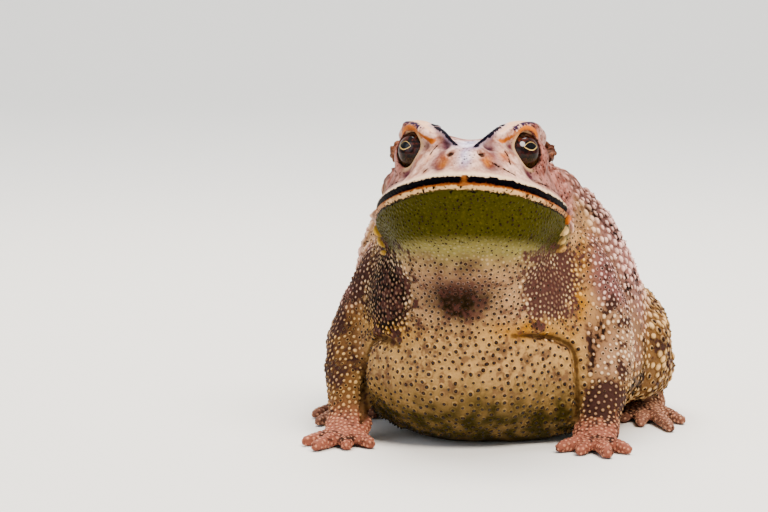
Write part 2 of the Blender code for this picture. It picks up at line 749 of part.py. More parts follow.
def back_point(surface, station, angle):
    """Where a ray from the trunk's axis, at an angle from the left side over the back, leaves the skin."""
    spread = station * (len(TRUNK) - 1)
    near = min(int(spread), len(TRUNK) - 2)
    values = [a + (b - a) * (spread - near) for a, b in zip(TRUNK[near], TRUNK[near + 1])]
    middle, to_back, _, half_width, _ = trunk_frame(values)
    way = Vector((math.cos(angle) * half_width, 0.0, 0.0)) + to_back * math.sin(angle)
    outside = middle + way.normalized() * FAR / 2
    return surface.ray_cast(outside, -way.normalized())


def wart(place, normal, radius, height):
    """A low dome with its root sunk into the skin."""
    bm = bmesh.new()
    bmesh.ops.create_icosphere(bm, subdivisions=1, radius=1.0)
    size = Matrix.Diagonal((radius, radius, height, 1.0))
    bmesh.ops.transform(bm, matrix=aimed(place, normal) @ size, verts=bm.verts)
    return object_from("wart", bm)


def random_place(draw, obj, areas):
    """A random point of a surface, evenly spread, with its normal."""
    face = draw.choices(obj.data.polygons, weights=areas)[0]
    corners = [obj.data.vertices[i].co for i in face.vertices]
    shares = [draw.random() for _ in corners]
    place = sum((c * share for c, share in zip(corners, shares)), Vector()) / sum(shares)
    return place, face.normal.copy()


def back_rows(draw, skin):
    """The places of the two rows of large warts down the back: (place, normal, radius)."""
    rows = []
    for station in ROW_STATIONS:
        for side in SIDES.values():
            angle = math.radians(90.0 - side * (ROW_ANGLE + draw.uniform(-3.0, 3.0)))
            place, normal, _, _ = back_point(skin, station + draw.uniform(-0.012, 0.012), angle)
            rows.append((place, normal, ROW_WART_RADIUS * draw.uniform(0.85, 1.1)))
    return rows


def add_warts(parts):
    """Rows of large warts and jaw beads on the torso, and loose warts over the back, flanks and limbs."""
    draw = random.Random(WART_SEED)
    skins = {part.name: surface_of(part) for part in parts}
    for part in parts:
        kind = part.name.removesuffix("_l").removesuffix("_r")
        if kind not in LOOSE_WARTS:
            continue
        skin = skins[part.name]
        clear_of = [other for name, other in skins.items() if name != part.name]
        wanted = []
        if kind == "torso":
            for side in SIDES.values():
                for out, y, z, radius in JAW_BEADS:
                    place, normal, _, _ = skin.find_nearest(body_point(side * out, y, z))
                    wanted.append((place, normal, radius))
            wanted += back_rows(draw, skin)
        fixed = len(wanted)
        areas = [face.area for face in part.data.polygons]
        for _ in range(WART_TRIES * LOOSE_WARTS[kind]):
            wanted.append((*random_place(draw, part, areas), draw.uniform(*LOOSE_WART_RADII)))
        warts = []
        placed = []
        loose = 0
        for number, (place, normal, radius) in enumerate(wanted):
            reach = radius * UNIT
            if number >= fixed:
                on_belly = normal.z < LOWEST_NORMAL or normal.y < FOREMOST_NORMAL
                if on_belly or loose >= LOOSE_WARTS[kind]:
                    continue
            gap = min(other.find_nearest(place)[3] for other in clear_of)
            if place.z < WART_FLOOR_GAP * reach or gap < WART_NEIGHBOUR_GAP * reach:
                continue
            if any((place - spot).length < reach + size + UNIT for spot, size in placed):
                continue
            loose += number >= fixed
            placed.append((place, reach))
            root = place - normal * WART_SUNK * reach
            warts.append(wart(root, normal, reach, WART_HEIGHT * reach))
        if warts:
            combine(part, warts, "UNION", "MANIFOLD")


def finish(objects):
    """Gives each part the material of its kind of skin, and smooth shading."""
    skins = {
        "torso": ("warty back", "back"),
        "head": ("head skin", "back"),
        "lower_jaw": ("throat skin", "throat"),
        "eye": ("eye", "eye"),
        "tympanum": ("eardrum", "eardrum"),
        "parotoid": ("gland", "gland"),
    }
    for obj in objects:
        kind = obj.name.removesuffix("_l").removesuffix("_r")
        label, colour = skins.get(kind, ("limb skin", "limb"))
        rough = EYE_ROUGHNESS if kind == "eye" else SKIN_ROUGHNESS
        obj.data.materials.clear()
        obj.data.materials.append(material(f"{label} {obj.name}", COLOURS[colour], rough))
        obj.data.shade_smooth()
        obj.data.set_sharp_from_angle(angle=math.radians(SHARP_ANGLE))


def main():
    clear_scene()
    torso, head, jaw = make_trunk_and_head()
    cut_at_floor(torso)
    add_lids_and_crests(head)
    eyes = make_eyes(head)
    drums = make_eardrums(head)
    cut_nostrils(head)
    glands = make_parotoids(torso, head)
    limbs = [*make_arms(torso, [head, jaw, *glands]), *make_legs(torso)]
    parts = [torso, head, jaw, *eyes, *drums, *glands, *limbs]
    add_warts(parts)
    toad = bpy.data.collections.new("asian common toad")
    bpy.context.scene.collection.children.link(toad)
    for part in parts:
        bpy.context.scene.collection.objects.unlink(part)
        toad.objects.link(part)
    finish(parts)


main()
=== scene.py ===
import json
import math
from functools import partial

import bmesh
import bpy
import numpy as np
from mathutils import Matrix, Vector, noise
from mathutils.bvhtree import BVHTree
from mathutils.kdtree import KDTree

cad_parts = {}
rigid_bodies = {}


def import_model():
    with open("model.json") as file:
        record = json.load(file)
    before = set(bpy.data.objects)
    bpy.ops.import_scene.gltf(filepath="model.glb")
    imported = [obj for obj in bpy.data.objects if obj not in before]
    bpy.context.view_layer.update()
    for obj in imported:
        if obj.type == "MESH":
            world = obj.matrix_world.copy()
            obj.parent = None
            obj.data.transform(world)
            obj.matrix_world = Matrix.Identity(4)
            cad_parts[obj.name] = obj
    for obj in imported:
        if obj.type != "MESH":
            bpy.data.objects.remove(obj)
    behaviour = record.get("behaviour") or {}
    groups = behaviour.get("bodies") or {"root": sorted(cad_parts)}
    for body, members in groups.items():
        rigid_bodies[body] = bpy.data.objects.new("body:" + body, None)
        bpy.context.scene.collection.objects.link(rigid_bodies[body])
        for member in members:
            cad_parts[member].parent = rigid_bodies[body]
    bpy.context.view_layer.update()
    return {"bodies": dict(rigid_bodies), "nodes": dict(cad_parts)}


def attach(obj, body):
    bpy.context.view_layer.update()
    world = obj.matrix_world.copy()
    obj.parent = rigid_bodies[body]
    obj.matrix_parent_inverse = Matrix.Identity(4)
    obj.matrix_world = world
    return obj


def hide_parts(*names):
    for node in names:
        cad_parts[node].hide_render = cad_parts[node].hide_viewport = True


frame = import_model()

bodyName = next(iter(frame["bodies"]))
mm = 0.001  # every size below is in millimetres, which are hundredths of the snout-vent length

# Small helpers

def say(text):
    print("toad:", text, flush=True)


def hexColour(text):
    # sRGB hex to linear, with full alpha
    values = [int(text[i:i + 2], 16) / 255 for i in (1, 3, 5)]
    return tuple(v / 12.92 if v <= 0.04045 else ((v + 0.055) / 1.055) ** 2.4 for v in values) + (1.0,)


def addNode(tree, kind, settings=None, feeds=(), give=0):
    # one node: settings are its properties, feeds fill its inputs with values or links, give names its output
    made = tree.nodes.new("ShaderNode" + kind)
    for key, value in (settings or {}).items():
        setattr(made, key, value)
    for key, value in feeds.items() if isinstance(feeds, dict) else enumerate(feeds):
        if isinstance(value, bpy.types.NodeSocket):
            tree.links.new(value, made.inputs[key])
        else:
            made.inputs[key].default_value = value
    return made.outputs[give]


def newMaterial(name):
    # the material, its node tree and its shader
    made = bpy.data.materials.new(name)
    made.use_nodes = True
    return made, made.node_tree, made.node_tree.nodes["Principled BSDF"]


def pickOnly(*objs):
    bpy.ops.object.select_all(action="DESELECT")
    for obj in objs:
        obj.select_set(True)
    bpy.context.view_layer.objects.active = objs[0]


def addModifier(obj, kind, **settings):
    # adds a modifier and applies it at once
    pickOnly(obj)
    made = obj.modifiers.new(kind.lower(), kind)
    for key, value in settings.items():
        setattr(made, key, value)
    bpy.ops.object.modifier_apply(modifier=made.name)


def weld(obj, gap):
    # merges the vertices that lie closer together than gap, in metres
    pickOnly(obj)
    bpy.ops.object.mode_set(mode="EDIT")
    bpy.ops.mesh.select_all(action="SELECT")
    bpy.ops.mesh.remove_doubles(threshold=gap)
    bpy.ops.object.mode_set(mode="OBJECT")


def joinAll(name, objs):
    pickOnly(*objs)
    if len(objs) > 1:
        bpy.ops.object.join()
    made = bpy.context.view_layer.objects.active
    made.name = name
    return made


def placed(obj):
    # puts an object's place, turn and size into its mesh
    pickOnly(obj)
    bpy.ops.object.transform_apply(location=True, rotation=True, scale=True)
    return obj


def points(obj):
    # the vertices in millimetres
    co = np.zeros(len(obj.data.vertices) * 3, np.float32)
    obj.data.vertices.foreach_get("co", co)
    return co.reshape(-1, 3).astype(float) / mm


def setPoints(obj, co):
    obj.data.vertices.foreach_set("co", (co * mm).astype(np.float32).ravel())
    obj.data.update()


def normals(obj):
    found = np.zeros(len(obj.data.vertices) * 3, np.float32)
    obj.data.vertex_normals.foreach_get("vector", found)
    return found.reshape(-1, 3).astype(float)


def triangles(obj):
    obj.data.calc_loop_triangles()
    corners = np.zeros(len(obj.data.loop_triangles) * 3, np.int32)
    obj.data.loop_triangles.foreach_get("vertices", corners)
    return corners.reshape(-1, 3)


def treeOf(places):
    tree = KDTree(len(places))
    for i, p in enumerate(places):
        tree.insert(p, i)
    tree.balance()
    return tree


def unit(rows):
    return rows / np.maximum(np.linalg.norm(rows, axis=1, keepdims=True), 1e-9)


def smoothStep(low, high, value):
    t = np.clip((value - low) / (high - low), 0.0, 1.0)
    return t * t * (3 - 2 * t)


def bell(distance, width):
    return np.exp(-(distance / width) ** 2)


def mix(a, b, share):
    return a + (b - a) * share


def noiseAt(co, size, shift):
    # smooth noise from -1 to 1 whose lumps are about size millimetres across
    return np.array([noise.noise(Vector(p)) for p in co / size + shift]) * 1.6


def curveThrough(stations, steps):
    # a smooth curve through the stations, each a row of numbers
    rows = np.array(stations, float)
    last = len(rows) - 1
    found = []
    for i in range(last):
        a, b, c, d = (rows[max(0, min(last, k))] for k in (i - 1, i, i + 1, i + 2))
        for t in np.arange(steps) / steps:
            bend = 2 * a - 5 * b + 4 * c - d
            twist = 3 * b - a - 3 * c + d
            found.append(0.5 * (2 * b + (c - a) * t + bend * t**2 + twist * t**3))
    found.append(rows[-1])
    return np.array(found)


def distanceToLine(co, line):
    # how far each point is from a polyline, in two or three dimensions
    best = np.full(len(co), 1e9)
    for a, b in zip(line, line[1:]):
        along = b - a
        t = np.clip((co - a) @ along / max(along @ along, 1e-9), 0, 1)
        best = np.minimum(best, np.linalg.norm(co - a - t[:, None] * along, axis=1))
    return best


# The head's own axes: out to the toad's left, forward along the snout, up through the crown
head = dict(
    base=(0.5, -10.0, 47.2), yaw=3.5, pitch=14.0,
    mouth=((-20.0, -4.4), (0.0, -2.7), (8.0, -2.0), (17.0, -1.3), (23.0, -0.7), (28.0, 0.0), (34.0, 0.1)),
    lipMiddle=4.0, lipReach={1: 95.0, -1: 102.0},
    eye=(9.6, 12.0, 8.3), leftEyeIn=0.6, eyeRadius=4.7, gaze=(0.62, 0.78, 0.05), opening=(3.3, 3.75),
)
headTurn = np.array(
    Matrix.Rotation(math.radians(head["yaw"]), 3, "Z") @ Matrix.Rotation(-math.radians(head["pitch"]), 3, "X")
)
flip = np.array((1.0, -1.0, 1.0))


def headPoints(rows):
    # (out, forward, up) to millimetres in the frame
    return (np.array(rows, float) * flip) @ headTurn.T + np.array(head["base"])


def inHead(co):
    return ((co - np.array(head["base"])) @ headTurn) * flip


def headWay(out, forward, up):
    way = (np.array((out, forward, up), float) * flip) @ headTurn.T
    return way / np.linalg.norm(way)


def mouthHeight(forward):
    line = np.array(head["mouth"])
    return np.interp(forward, line[:, 0], line[:, 1])


def lipPlace(co):
    # height above the line of the mouth, the angle round the snout from its tip, and what is left of it
    h = inHead(co)
    rise = h[:, 2] - mouthHeight(h[:, 1])
    angle = np.degrees(np.arctan2(np.abs(h[:, 0]), h[:, 1] - head["lipMiddle"]))
    return rise, angle, np.where(h[:, 0] > 0, head["lipReach"][1], head["lipReach"][-1]) - angle


def tubeThrough(name, stations, inHeadAxes=True):
    # a round, tapered roll of flesh along (x, y, z, radius) stations
    rows = curveThrough(stations, 5)
    place = headPoints(rows[:, :3]) if inHeadAxes else rows[:, :3]
    curve = bpy.data.curves.new(name, "CURVE")
    curve.dimensions = "3D"
    curve.bevel_depth = mm
    curve.bevel_resolution = 3
    curve.use_fill_caps = True
    spline = curve.splines.new("POLY")
    spline.points.add(len(rows) - 1)
    for point, where, radius in zip(spline.points, place, rows[:, 3]):
        point.co = (*(where * mm), 1.0)
        point.radius = radius
    made = bpy.data.objects.new(name, curve)
    bpy.context.collection.objects.link(made)
    pickOnly(made)
    bpy.ops.object.convert(target="MESH")
    made = bpy.context.view_layer.objects.active
    weld(made, 0.00001)
    return made


def ballAt(name, centre, radii, segments=32, rings=20):
    # a soft swelling
    bpy.ops.mesh.primitive_uv_sphere_add(segments=segments, ring_count=rings, radius=1.0)
    made = bpy.context.view_layer.objects.active
    made.name = name
    made.scale = np.array(radii) * mm
    made.location = np.array(centre) * mm
    return placed(made)


# Camera, at the photograph's angle and framing
view = dict(azimuth=9.0, elevation=6.0, distance=0.6, lens=142.9, aim=(0.8, -20.8, 38.0), beside=-16.5)


def wayTo(azimuth, elevation):
    # the direction from the toad to a camera or lamp, by its angles in degrees
    a, e = math.radians(azimuth), math.radians(elevation)
    return Vector((math.sin(a) * math.cos(e), -math.cos(a) * math.cos(e), math.sin(e)))


def makeCamera():
    back = wayTo(view["azimuth"], view["elevation"])
    right = wayTo(view["azimuth"] + 90.0, 0.0)
    target = (Vector(view["aim"]) + right * view["beside"]) * mm
    camera = bpy.data.objects.new("camera", bpy.data.cameras.new("camera"))
    bpy.context.collection.objects.link(camera)
    camera.location = target + back * view["distance"]
    camera.rotation_mode = "QUATERNION"
    camera.rotation_quaternion = (-back).to_track_quat("-Z", "Y")
    camera.data.lens = view["lens"]
    camera.data.sensor_width = 36.0
    camera.data.clip_start = 0.01
    camera.data.clip_end = 50.0
    bpy.context.scene.camera = camera


# Soft studio light: (azimuth, elevation, distance, size, power, colour, how far behind the toad it aims)
lights = dict(
    key=(38.0, 50.0, 0.7, 0.35, 8.8, "#fff4e6", 0.0),
    fill=(-55.0, 25.0, 0.8, 0.7, 1.7, "#e8f0ff", 0.0),
    top=(-160.0, 62.0, 0.6, 0.4, 3.6, "#fff0dc", 0.0),
    low=(0.0, 8.0, 0.9, 0.6, 0.8, "#fff8ee", 0.0),
    backdrop=(0.0, 60.0, 1.7, 1.5, 46.0, "#ffffff", 1.4),
)
# A sheet of pale paper that curves up behind the toad
room = dict(
    floor="#eceae5", world="#e4e8ee", worldPower=0.5,
    wide=5.0, front=-3.0, bend=1.2, radius=0.9, top=3.6, below=0.0002, aimHeight=0.03,
)


def makeLamps():
    # the lamps, and a faint even light all round
    for name, (azimuth, elevation, distance, size, power, colour, behind) in lights.items():
        back = wayTo(azimuth, elevation)
        data = bpy.data.lights.new(name, "AREA")
        data.shape = "DISK"
        data.size = size
        data.energy = power
        data.color = hexColour(colour)[:3]
        lamp = bpy.data.objects.new(name, data)
        bpy.context.collection.objects.link(lamp)
        lamp.location = Vector((0.0, behind, room["aimHeight"])) + back * distance
        lamp.rotation_mode = "QUATERNION"
        lamp.rotation_quaternion = back.to_track_quat("Z", "Y")
    world = bpy.data.worlds.new("studio")
    world.use_nodes = True
    bpy.context.scene.world = world
    world.node_tree.nodes["Background"].inputs["Color"].default_value = hexColour(room["world"])
    world.node_tree.nodes["Background"].inputs["Strength"].default_value = room["worldPower"]


def makePaper():
    turns = np.radians(np.linspace(0.0, 90.0, 25))
    rows = [(room["front"], 0.0)]
    rows += [(room["bend"] + room["radius"] * math.sin(a), room["radius"] * (1 - math.cos(a))) for a in turns]
    rows.append((room["bend"] + room["radius"], room["top"]))
    corners = [(side * room["wide"], y, z - room["below"]) for y, z in rows for side in (-1, 1)]
    faces = [(i, i + 1, i + 3, i + 2) for i in range(0, len(corners) - 2, 2)]
    sheet = bpy.data.meshes.new("studioPaper")
    sheet.from_pydata(corners, [], faces)
    sheet.transform(Matrix.Rotation(math.radians(view["azimuth"]), 4, "Z"))
    sheet.shade_smooth()
    floor = bpy.data.objects.new("studioPaper", sheet)
    bpy.context.collection.objects.link(floor)
    paper, _, shader = newMaterial("matt backdrop paper")
    shader.inputs["Base Color"].default_value = hexColour(room["floor"])
    shader.inputs["Roughness"].default_value = 0.9
    sheet.materials.append(paper)


makeCamera()
makeLamps()
makePaper()
say("camera and studio are set")

# Flesh: one skin over all the solids of flesh
flesh = dict(
    swell=0.22,         # each solid is swollen by this, which closes the cuts between them
    bodyVoxel=0.62,
    bodyRounds=14,      # rounds of smoothing on the body, fewer on the digits and face
    fineVoxel=0.40,
    faces=186000,       # triangles that the skin keeps, most of them on the face
    farthest=6.0,       # how far round each part its weight is looked for
    blend=1.1,          # how softly one part's weight passes into the next
    lowest=0.03,
    orbit=5.15,         # radius of the flesh round each eye
    throatPouch=((1.0, -20.5, 37.6), (15.0, 10.6, 9.0)),
    shoulders={
        1: ((14.0, -1.0, 40.0, 6.2), (17.5, -1.0, 31.0, 7.0), (21.5, 0.0, 21.0, 6.2)),
        -1: ((11.5, -1.0, 40.0, 5.6), (14.5, -1.0, 31.0, 6.6), (19.0, 0.0, 21.0, 6.0)),
    },
)
fleshNodes = [n for n in frame["nodes"] if not n.startswith("eye")]
parts = {
    "head": ["head", "tympanum_l", "tympanum_r"],
    "jaw": ["lower_jaw"],
    "gland": ["parotoid_l", "parotoid_r"],
    "torso": ["torso"],
    "arm": ["upper_arm_l", "upper_arm_r", "forearm_l", "forearm_r"],
    "hand": ["hand_l", "hand_r"],
    "leg": ["thigh_l", "thigh_r", "shank_l", "shank_r"],
    "foot": ["foot_l", "foot_r"],
}


def mergedCopy(name):
    source = frame["nodes"][name]
    made = bpy.data.objects.new("flesh_" + name, source.data.copy())
    bpy.context.collection.objects.link(made)
    made.data.materials.clear()
    weld(made, 0.000001)
    return made


def searchTrees():
    # one tree of surfaces for each named part of the body
    trees = {}
    for part, names in parts.items():
        bm = bmesh.new()
        for name in names:
            bm.from_mesh(frame["nodes"][name].data)
        trees[part] = BVHTree.FromBMesh(bm)
        bm.free()
    return trees


def partWeights(co):
    # how near each point is to each named part, as weights that add up to one
    found = {}
    places = [Vector(p * mm) for p in co]
    far = flesh["farthest"] * mm
    for part, tree in partTrees.items():
        gaps = np.array([tree.find_nearest(p, far)[3] or far for p in places]) / mm
        found[part] = np.exp(-gaps / flesh["blend"])
    total = sum(found.values())
    return {part: w / total for part, w in found.items()}


def relax(obj, weight, rounds, keepSize=False):
    # evens the surface where weight is high; keepSize swells it back after each round
    co = points(obj)
    edges = np.zeros(len(obj.data.edges) * 2, np.int64)
    obj.data.edges.foreach_get("vertices", edges)
    a, b = edges.reshape(-1, 2).T
    count = np.bincount(a, minlength=len(co)) + np.bincount(b, minlength=len(co))
    count = np.maximum(count, 1)
    for step in range(rounds * (2 if keepSize else 1)):
        mean = np.zeros_like(co)
        for axis in range(3):
            mean[:, axis] = np.bincount(a, co[b, axis], len(co)) + np.bincount(b, co[a, axis], len(co))
        mean /= count[:, None]
        factor = -0.53 if keepSize and step % 2 else 0.5
        co += (mean - co) * factor * weight[:, None]
    setPoints(obj, co)


# Forms that the solids only hint at, in the head's axes: (out, forward, up, radius)
faceForms = dict(
    upperLid=((6.4, 16.6, 11.4, 1.2), (8.0, 15.6, 12.0, 1.7), (9.8, 13.6, 12.7, 1.9), (11.4, 10.6, 13.2, 1.8),
              (12.1, 7.6, 13.0, 1.2), (12.3, 4.5, 12.0, 0.9)),
    lidEdge=((6.2, 17.6, 11.4, 0.7), (6.6, 18.4, 10.0, 0.95), (7.7, 18.3, 10.6, 1.0), (9.4, 17.2, 12.0, 1.0),
             (11.3, 15.2, 13.1, 1.0), (12.8, 12.6, 13.6, 0.9), (12.9, 11.2, 13.2, 0.6)),
    canthus=((6.4, 17.2, 12.2, 0.6), (5.0, 19.4, 11.1, 0.6), (3.4, 21.8, 9.4, 0.5), (1.9, 23.8, 7.7, 0.45)),
    browRidge=((7.0, 16.4, 12.6, 0.7), (6.7, 10.0, 13.4, 0.85), (7.5, 4.0, 13.4, 0.9), (9.0, 0.0, 12.9, 0.8)),
    backRidge=((9.0, 0.0, 12.9, 0.8), (12.4, -0.6, 13.2, 0.7), (14.4, -0.4, 12.7, 0.7),
               (15.8, 0.2, 11.3, 0.85)),
    temple=((16.2, 0.4, 11.1, 0.9), (15.9, 1.8, 9.9, 0.9), (15.4, 3.4, 8.6, 0.85)),
)
crestForms = dict(canthus=4, browRidge=4, backRidge=2)  # how many stations of each are black
# Dark marks on the surface of the face, in the same axes: the lace on the upper lids, and short dashes
lidLace = ((9.6, 17.8, 12.3), (10.3, 17.0, 13.0), (11.5, 15.7, 13.7), (12.7, 13.8, 14.1))
faceDashes = (
    ((-7.1, 21.1, 6.3), (-5.9, 20.1, 8.2)), ((-8.1, 24.3, 2.4), (-7.3, 24.3, 3.0)),
    ((7.0, 20.0, 7.4), (7.8, 20.5, 6.3)), ((8.1, 21.0, 5.7), (8.4, 21.8, 4.5)),
    ((5.2, 24.8, 4.2), (6.4, 24.7, 3.5)), ((7.2, 24.4, 3.1), (9.5, 23.0, 2.1)),
)
# Hollows of the face: (out, forward, up, width, depth); all but the last are also darkened with painted shade
faceHollows = (
    (4.8, 25.8, 3.5, 1.4, 0.7),
    (4.1, 21.7, 7.6, 1.4, 0.95),
    (7.6, 17.4, 8.4, 1.3, 0.75),
    (11.4, 17.0, 3.3, 2.0, 1.1),
    (14.4, 10.0, 12.4, 2.2, 1.0),
)
# The mauve stripe down each side of the snout, in the same axes
snoutStripe = ((4.3, 20.6, 8.6), (4.5, 22.6, 6.8), (5.4, 24.4, 4.2))
faceDetail = dict(
    nostril=(2.9, 25.2, 5.6), nostrilWidth=0.6, nostrilDepth=1.25, nostrilRim=0.25,
    eardrum=(16.5, 1.5, 4.4), eardrumRadius=2.4, eardrumDepth=0.3, eardrumRim=0.28,
    mouthDepth=0.8, mouthWidth=0.26, lipSwell=0.34, cornerDepth=0.7,
)
# The two creases where the chest folds over the belly, each running down beside a forearm: (x, z)
creases = dict(
    lines={
        1: ((10.2, 22.8), (15.2, 22.4), (19.1, 20.9), (21.3, 18.5), (22.0, 12.0), (21.6, 5.0)),
        -1: ((-12.4, 20.2), (-14.2, 21.0), (-15.8, 21.2), (-17.6, 20.8), (-19.3, 19.3), (-20.3, 17.0),
             (-20.8, 13.5), (-20.9, 9.5), (-20.4, 4.5)),
    },
    depth={1: (1.1, 1.8), -1: (1.1, 3.6)}, width=0.55, pouchSwell=0.8, foldSwell=0.6,
)


def mirrorOut(side, out):
    # the photograph shows the toad's left eye and lid a little nearer the middle than its right
    return side * out - head["leftEyeIn"] * (side > 0 and out > 5.5)


def mirroredLine(side, stations):
    return [(mirrorOut(side, station[0]), *station[1:]) for station in stations]


def eyeCentre(side):
    out, forward, up = head["eye"]
    return headPoints([(mirrorOut(side, out), forward, up)])[0]


def eyeAxes(side):
    # rows: across the gap between the lids, up it, and along the gaze
    out, forward, up = head["gaze"]
    gaze = headWay(side * out, forward, up)
    across = unit(np.cross((0.0, 0.0, 1.0), gaze)[None])[0]
    return np.array((across, np.cross(gaze, across), gaze))


def eyeOval(co, side):
    # 1 at the edge of the gap between the lids, and how far ahead of the eye's middle and from it
    offset = (co - eyeCentre(side)) @ eyeAxes(side).T
    wide, high = head["opening"]
    return np.hypot(offset[:, 0] / wide, offset[:, 1] / high), offset, np.linalg.norm(offset, axis=1)


def lowerLid(side):
    # a thin roll round the lower side of the gap
    wide, high = head["opening"]
    rows = []
    for turn in np.radians(np.linspace(-100.0, 110.0, 15)):
        x, y = 1.14 * wide * math.sin(turn) * side, -1.14 * high * math.cos(turn)
        ahead = math.sqrt(max(26.0 - x * x - y * y, 4.0))
        place = np.array((x, y, ahead)) @ eyeAxes(side) + eyeCentre(side)
        rows.append((*place, 0.5 - 0.25 * max(math.sin(turn), 0.0)))
    return tubeThrough("lowerLid", rows, False)


def headRolls():
    rolls = [lowerLid(1), lowerLid(-1)]
    for name, stations in faceForms.items():
        for side in (1, -1):
            rolls.append(tubeThrough(name, mirroredLine(side, stations)))
    return rolls


def openEyes(skin):
    # cuts each socket and the oval gap between the lids
    wide, high = head["opening"]
    for side in (1, -1):
        centre = eyeCentre(side)
        axes = eyeAxes(side)
        socket = ballAt("socket", centre, (head["eyeRadius"] + 0.08,) * 3, 48, 32)
        bpy.ops.mesh.primitive_cone_add(vertices=64, radius1=0.93, radius2=1.22, depth=6.0)
        gap = bpy.context.view_layer.objects.active
        gap.matrix_world = (
            Matrix.Translation(Vector((centre + axes[2] * 5.4) * mm))
            @ Matrix(axes.T.tolist()).to_4x4() @ Matrix.Diagonal((wide * mm, high * mm, mm, 1.0))
        )
        placed(gap)
        for cutter in (socket, gap):
            addModifier(skin, "BOOLEAN", operation="DIFFERENCE", object=cutter, solver="MANIFOLD")
            bpy.data.objects.remove(cutter, do_unlink=True)
    co = points(skin)
    for side in (1, -1):
        centre = eyeCentre(side)
        oval, offset, distance = eyeOval(co, side)
        rim = bell(oval - 1.1, 0.16) * smoothStep(0.5, 2.0, offset[:, 2]) * smoothStep(7.0, 5.6, distance)
        relax(skin, rim, 2)
        co = points(skin)
        offset = co - centre
        distance = np.linalg.norm(offset, axis=1)
        least = head["eyeRadius"] + 0.06
        near = (distance < least) & (distance > least - 1.0)
        co[near] = centre + offset[near] / distance[near, None] * least
        setPoints(skin, co)


def headMask(h):
    # 1 on the head and jaw, fading out over the neck
    return smoothStep(-4.0, -1.0, h[:, 1]) * smoothStep(-12.0, -9.0, h[:, 2])


def sculptHead(skin):
    co = points(skin)
    out = normals(skin)
    h = inHead(co)
    rise, _, left = lipPlace(co)
    onHead = headMask(h)
    along = smoothStep(-3.0, 4.0, left) * onHead
    swell = faceDetail["lipSwell"]
    move = -faceDetail["mouthDepth"] * bell(rise, faceDetail["mouthWidth"])
    move += swell * bell(rise - 1.05, 0.5) + swell * bell(rise + 0.8, 0.42) - 0.16 * bell(rise + 1.75, 0.22)
    move *= along
    for side in (1, -1):
        for fx, fy, fz, width, depth in faceHollows:
            move -= depth * bell(np.linalg.norm(h - (side * fx, fy, fz), axis=1), width)
        fx, fy, fz = faceDetail["nostril"]
        place = h[np.argmin(np.linalg.norm(h - (side * fx, fy, fz), axis=1))]
        away = np.linalg.norm(h - place, axis=1)
        move -= faceDetail["nostrilDepth"] * bell(away, faceDetail["nostrilWidth"])
        move += faceDetail["nostrilRim"] * bell(away - 1.0, 0.32)
        fx, fy, fz = faceDetail["eardrum"]
        away = np.linalg.norm(h - (side * fx, fy, fz), axis=1)
        radius = faceDetail["eardrumRadius"]
        move += faceDetail["eardrumRim"] * bell(away - radius - 0.25, 0.38)
        move -= faceDetail["eardrumDepth"] * smoothStep(radius, radius - 0.5, away)
    corner = np.abs(left + 1.0) * 0.28
    move -= faceDetail["cornerDepth"] * bell(np.hypot(corner, rise), 1.1) * onHead
    setPoints(skin, co + out * move[:, None])


def sideOfLine(co, line):
    # how far each point is from a flat polyline, and 1 on the left of its nearest span or -1 on the right
    best = np.full(len(co), 1e9)
    sign = np.ones(len(co))
    for a, b in zip(line, line[1:]):
        along = b - a
        t = np.clip((co - a) @ along / (along @ along), 0, 1)
        away = np.linalg.norm(co - a - t[:, None] * along, axis=1)
        turn = along[0] * (co[:, 1] - a[1]) - along[1] * (co[:, 0] - a[0])
        nearer = away < best
        best = np.where(nearer, away, best)
        sign = np.where(nearer, np.sign(turn), sign)
    return best, sign


def sculptBelly(skin):
    co = points(skin)
    out = normals(skin)
    front = smoothStep(3.0, -2.0, co[:, 1]) * smoothStep(0.35, 0.0, out[:, 1])
    move = np.zeros(len(co))
    for side, stations in creases["lines"].items():
        line = curveThrough(stations, 4)
        away, sign = sideOfLine(co[:, [0, 2]], line)
        below = -sign * side
        fade = smoothStep(abs(line[0][0]) - 1.0, abs(line[0][0]) + 4.5, side * co[:, 0])
        fade *= smoothStep(2.0, 6.0, co[:, 2])
        arch, down = creases["depth"][side]
        dip = -mix(arch, down, smoothStep(19.5, 15.0, co[:, 2])) * bell(away, creases["width"])
        pouch = creases["pouchSwell"] * bell(away - 2.2, 1.6) * (below > 0)
        fold = creases["foldSwell"] * bell(away - 1.3, 0.9) * (below < 0) * smoothStep(15.0, 19.0, co[:, 2])
        move += (dip + pouch + fold) * fade * front
    setPoints(skin, co + out * move[:, None])


def thin(skin):
    # fewer triangles where the skin is plain, so that the face keeps them
    h = inHead(points(skin))
    face = smoothStep(-3.0, 2.0, h[:, 1]) * smoothStep(-6.0, -3.0, h[:, 2])
    group = skin.vertex_groups.new(name="plain")
    group.add(np.nonzero(face < 0.5)[0].tolist(), 1.0, "REPLACE")
    share = flesh["faces"] / len(triangles(skin))
    addModifier(skin, "DECIMATE", ratio=share, vertex_group="plain", use_collapse_triangulate=True)
    skin.vertex_groups.clear()


